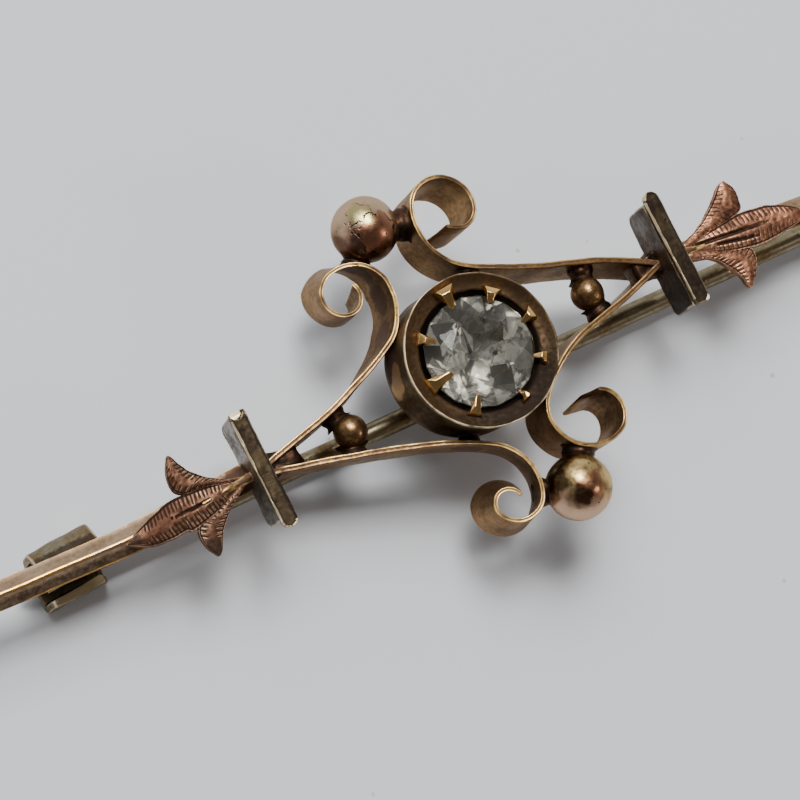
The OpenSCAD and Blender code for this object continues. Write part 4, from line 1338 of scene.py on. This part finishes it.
class BROOCH_OT_bars(bpy.types.Operator):
    """Build the ridged end bars"""
    bl_idname = "brooch.bars"
    bl_label = "End bars"

    def execute(self, context):
        for node, route in BAR_ROUTES.items():
            low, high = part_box(node)
            self.bar(context.scene.brooch.bar, node, route, low.z, high.z)
        return {"FINISHED"}

    def bar(self, sizes, node, route, back, ridge):
        """Ridged bar along its route, with a painted highlight on the ridge and painted shade on its lower
        flank.
        """
        route = smooth_points([Vector((x * MM, y * MM, 0)) for x, y in route], 24)
        half = sizes.width / 2
        height = ridge - back
        right = node.endswith("right")
        rings = []
        gleams = []
        shades = []
        for index, middle in enumerate(route):
            ahead = direction(route, index)
            across = Vector((-ahead.y, ahead.x, 0)) * (1 if ahead.x > 0 else -1)
            share = index / (len(route) - 1)
            near = max(0, 1 - share / 0.16) if right else 0.0
            end = 1 - 0.3 * max(0, (share - 0.985) / 0.015) ** 2
            ring = []
            for u, z in self.section(half, height, sizes.edge_height):
                # gleams paint a highlight along the ridge; shades paint shade on the lower flank, kept with
                # the dirt.
                gleams.append(0.5 if abs(u) < 0.075 * MM and z > height / 2 else 0.0)
                shades.append(min(1.0, max(0.0, -u / half) * 1.8) * 0.26 if z > height / 4 else 0.0)
                narrow = 1 - near * (0.62 if u < 0 else 0.28)
                point = middle + across * (u * narrow * end) + raised(back + z * end)
                ring.append(uneven(point, (0.6, 0.03), (3, 0.008)))
            rings.append(ring)
        piece = add_piece(node, loft(rings), FINISHES["bar"], node, sharp=60,
                          solder_at=[(route[0] + raised(back + height / 2), 1.1 * MM)])
        set_mark(piece.data, "wear_and_sheen", np.maximum(read_mark(piece.data, "wear_and_sheen") * 0.65, gleams))
        raise_mark(piece.data, "dirt_and_shade", shades)

    def section(self, half, height, edge):
        """Cross-section with a rounded ridge and slightly hollow flanks, as (across, up)."""
        flank = []
        for k in range(9):
            t = k / 8
            hollow = 0.05 * MM * math.sin(math.pi * t)
            flank.append((half - (half - 0.1 * MM) * t - hollow * 0.3,
                          edge + (height - 0.035 * MM - edge) * t - hollow))
        ridge = [(0.07 * MM, height - 0.018 * MM), (0.035 * MM, height - 0.004 * MM), (0, height)]
        side = [(half - 0.16 * MM, 0), (half - 0.05 * MM, 0.04 * MM), (half, 0.14 * MM),
                (half, edge - 0.06 * MM), (half - 0.012 * MM, edge - 0.015 * MM)]
        one = side + flank + ridge
        other = [(-u, z) for u, z in reversed(one[:-1])]
        return one + other + [(-half * 0.4, 0), (half * 0.4, 0)]


class BROOCH_OT_fastening(bpy.types.Operator):
    """Build the catch, the hinge and the pin stem"""
    bl_idname = "brooch.fastening"
    bl_label = "Catch, hinge and stem"

    def execute(self, context):
        sizes = context.scene.brooch.fastening
        self.catch(sizes)
        self.hinge()
        self.stem(sizes)
        return {"FINISHED"}

    def catch(self, sizes):
        """Bent sheet: lip, floor, rounded back and arm."""
        low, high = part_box("catch")
        t = sizes.sheet
        front, back, top = low.y + t / 2, high.y - t / 2, high.z - t / 2
        corner, small, lip = 0.95 * MM, 0.22 * MM, 1.6 * MM
        floor = t / 2 + low.z
        path = [(front, lip - 0.2 * MM * k) for k in range(6)]
        path += quarter(front + small, floor + small, -small, 0, 6)
        path += [(front + small + (back - corner - front - small) * k / 8, floor) for k in range(1, 8)]
        path += quarter(back - corner, floor + corner, corner, -90, 10)
        path += quarter(back - corner, top - corner, corner, 0, 10)
        path += [(back - corner - (back - corner + 0.1 * MM) * k / 8, top) for k in range(1, 9)]
        path = [Vector((0, y, z)) for y, z in path]
        middle_x = (low.x + high.x) / 2
        half = (high.x - low.x) / 2
        rings = []
        for index, middle in enumerate(path):
            ahead = direction(path, index)
            up = Vector((0, -ahead.z, ahead.y))
            reach = min(index, 6) / 6
            width = half * (0.8 + 0.2 * math.sin(math.pi / 2 * reach))
            section = rounded_section(2 * width, t, 0.09 * MM, (18, 2), 3)
            ring = [middle + Vector((middle_x + u, 0, 0)) + up * v for u, v in section]
            rings.append([uneven(p, (1.1, 0.06)) for p in ring])
        steps = int((high.x - low.x) / MM * 10)
        # The lip's edge is painted bright: worn metal and a painted highlight along the sheet's rim.
        lip_edge = [((low.x + 0.1 * MM * k, front, lip), 0.24 * MM) for k in range(2, steps - 1)]
        # Painted shade on the top arm under the bar, kept first as solder and then moved into the dirt mark.
        shade = [((low.x + 0.1 * MM * k, 1.28 * MM - 0.006 * MM * k, high.z), 0.3 * MM)
                 for k in range(1, 38)]
        piece = add_piece("catch", loft(rings), FINISHES["catch"], "catch", shade,
                          lip_edge, sharp=60)
        bar_shade = read_mark(piece.data, "solder")
        raise_mark(piece.data, "dirt_and_shade", bar_shade * 0.4)
        set_mark(piece.data, "solder", bar_shade * 0)

    def hinge(self):
        """Foot and two ears, with a rivet through them."""
        low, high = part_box("hinge")
        middle = (low + high) / 2
        turn = Matrix.Translation((middle.x, middle.y, 0)) @ Matrix.Rotation(-STEM_TURN, 4, "Z")
        ear, long, wide, foot = 0.7 * MM, 1.0 * MM, 1.5 * MM, 2.0 * MM
        profile = [(-wide, 0), (-wide + ear, 0), (-wide + ear, foot), (wide - ear, foot), (wide - ear, 0),
                   (wide, 0), (wide, high.z), (-wide, high.z)]
        rings = [[turn @ Vector((x, y, z)) for y, z in profile] for x in (-long, long)]
        add_piece("hinge", loft(rings), FINISHES["steel"], "hinge", bevel=0.12 * MM,
                  sharp=40)
        head = wide + 0.02 * MM
        rings = []
        for y, size in ((-head, 0.2 * MM), (-head, 0.3 * MM), (head, 0.3 * MM), (head, 0.2 * MM)):
            ring = [Vector((size * math.cos(a), y, 1.0 * MM + size * math.sin(a))) for a in circle(24)]
            rings.append([turn @ p for p in ring])
        add_piece("hinge_rivet", loft(rings), FINISHES["steel"], "hinge", sharp=40)

    def stem(self, sizes):
        """Round stem with a tapered point and an eye at the hinge."""
        hinge_x, tip_x, axis = 23.4 * MM, -21.6 * MM, 1.0 * MM
        radius = sizes.pin_diameter / 2
        columns = 260
        rings = []
        for k in range(columns + 1):
            x = hinge_x + (tip_x - hinge_x) * k / columns
            y = self.beside(x)
            taper = ramp(x, tip_x, 1.7 * MM)
            size = max(0.04 * MM, radius * math.sin(math.pi / 2 * taper) ** 0.8)
            ring = [Vector((x, y + size * math.cos(a), axis + size * math.sin(a))) for a in circle(28)]
            rings.append([uneven(p, (0.5, 0.02)) for p in ring])
        add_piece("pin_stem", loft(rings), FINISHES["steel"], "pin_stem")
        section = rounded_section(1.4 * MM, 0.4 * MM, 0.08 * MM, (6, 2), 3)
        y = self.beside(hinge_x)
        rings = []
        for a in circle(48):
            out = Vector((math.cos(a), 0, math.sin(a)))
            rings.append([Vector((hinge_x, y + u, axis)) + out * (0.55 * MM + v) for u, v in section])
        form = loft(rings + rings[:1], cap=False)
        add_piece("pin_stem_eye", form, FINISHES["steel"], "pin_stem", sharp=50)

    def beside(self, x):
        """Y of the stem's axis at x, in metres."""
        return -0.77 * MM - x * math.tan(STEM_TURN)


class BROOCH_OT_studio(bpy.types.Operator):
    """Build the pale floor, the soft lights and the camera"""
    bl_idname = "brooch.studio"
    bl_label = "Studio"

    def execute(self, context):
        studio = context.scene.brooch.studio
        self.floor(studio)
        self.lights(context, studio)
        self.camera(context, studio)
        return {"FINISHED"}

    def floor(self, studio):
        """Pale floor with faint specks."""
        reach = 1.2
        corners = [(-reach, -reach, 0), (reach, -reach, 0), (reach, reach, 0), (-reach, reach, 0)]
        mesh = bpy.data.meshes.new("floor")
        mesh.from_pydata(corners, [], [(0, 1, 2, 3)])
        floor = bpy.data.objects.new("floor", mesh)
        bpy.context.scene.collection.objects.link(floor)
        finish = Finish("pale_floor")
        speck = finish.cells(0.3)
        tone = finish.mix(1 - speck.step(0.02, 0.045), studio.floor, [c * 0.7 for c in studio.floor])
        finish.end(finish.principled({
            "Base Color": tone, "Roughness": 0.7, "Specular IOR Level": 0.2,
            "Normal": finish.bump(finish.noise(1.5, 4), 0.01 * MM, 0.3)}))
        mesh.materials.append(finish.material)

    def lights(self, context, studio):
        """Dark room with one lit side, two large lights above it and a small one across."""
        world = bpy.data.worlds.new("room")
        context.scene.world = world
        world.use_nodes = True
        room = Nodes(world.node_tree)
        toward = room.node("ShaderNodeTexCoord", output="Generated")
        up = room.vector("DOT_PRODUCT", toward, (0, 0, 1), output="Value")
        lit = room.vector("DOT_PRODUCT", toward, (0.1, 1, 0), output="Value")
        low = 1 - up.step(0.2, 0.8)
        glow = low * (lit.step(-0.5, 0.7) * 0.8 + 0.2) * studio.horizon + studio.ceiling
        tone = room.mix(lit.step(-0.6, 0.6), (1.0, 0.93, 0.88), (0.97, 0.98, 1.0))
        back = room.node("ShaderNodeBackground", {}, {"Color": tone, "Strength": glow})
        room.node("ShaderNodeOutputWorld", {}, {"Surface": back}, None)
        for name, place, size, power, tone in (
                ("key", (0.1, 0.36, 0.93), 0.3, studio.key_power * 0.45, (1.0, 0.98, 0.96)),
                ("wide", (0.04, 0.5, 0.865), 0.62, studio.key_power * 0.58, (0.98, 0.99, 0.98)),
                ("side", (0.6, -0.59, 0.54), 0.16, studio.side_power, (1.0, 0.86, 0.8))):
            light = bpy.data.lights.new(name, "AREA")
            light.energy = power
            light.size = size
            light.color = tone
            lamp = bpy.data.objects.new(name, light)
            lamp.location = place
            lamp.rotation_euler = (-Vector(place)).to_track_quat("-Z", "Y").to_euler()
            context.scene.collection.objects.link(lamp)

    def camera(self, context, studio):
        """Camera of the photo, counted from the middle of the rim."""
        data = bpy.data.cameras.new("camera")
        data.lens = studio.lens
        data.sensor_width = 36
        data.clip_start = 0.005
        data.clip_end = 5
        camera = bpy.data.objects.new("camera", data)
        camera.location = Vector(studio.camera_place) + raised(rim_height())
        camera.rotation_euler = Euler(studio.camera_turn, "XYZ")
        context.scene.collection.objects.link(camera)
        context.scene.camera = camera


class BROOCH_PT_panel(bpy.types.Panel):
    """Lists the pieces in the sidebar"""
    bl_idname = "BROOCH_PT_panel"
    bl_label = "Scroll bar brooch"
    bl_space_type = "VIEW_3D"
    bl_region_type = "UI"
    bl_category = "Brooch"

    def draw(self, context):
        for operator in OPERATORS:
            self.layout.operator(operator.bl_idname)


OPERATORS = (BROOCH_OT_collet, BROOCH_OT_stone, BROOCH_OT_scrolls, BROOCH_OT_beads, BROOCH_OT_crossbars,
             BROOCH_OT_leaves, BROOCH_OT_bars, BROOCH_OT_fastening, BROOCH_OT_studio)
GROUPS = (SettingSizes, RibbonSizes, BeadSizes, CrossbarSizes, LeafSizes, BarSizes, FasteningSizes,
          FinishColours, StudioSettings, BroochSettings)
FINISHES = {}


def register():
    """Makes the settings, the operators and the panel known to the program."""
    for part in GROUPS + OPERATORS + (BROOCH_PT_panel,):
        bpy.utils.register_class(part)
    bpy.types.Scene.brooch = PointerProperty(type=BroochSettings)


def unregister():
    """Takes them away again."""
    del bpy.types.Scene.brooch
    for part in reversed(GROUPS + OPERATORS + (BROOCH_PT_panel,)):
        bpy.utils.unregister_class(part)


def main():
    """Builds the pieces and the stage."""
    noise.seed_set(3)
    register()
    FINISHES.update(make_finishes(bpy.context.scene.brooch.colours))
    for operator in OPERATORS:
        group, name = operator.bl_idname.split(".")
        getattr(getattr(bpy.ops, group), name)()


if __name__ == "__main__":
    main()
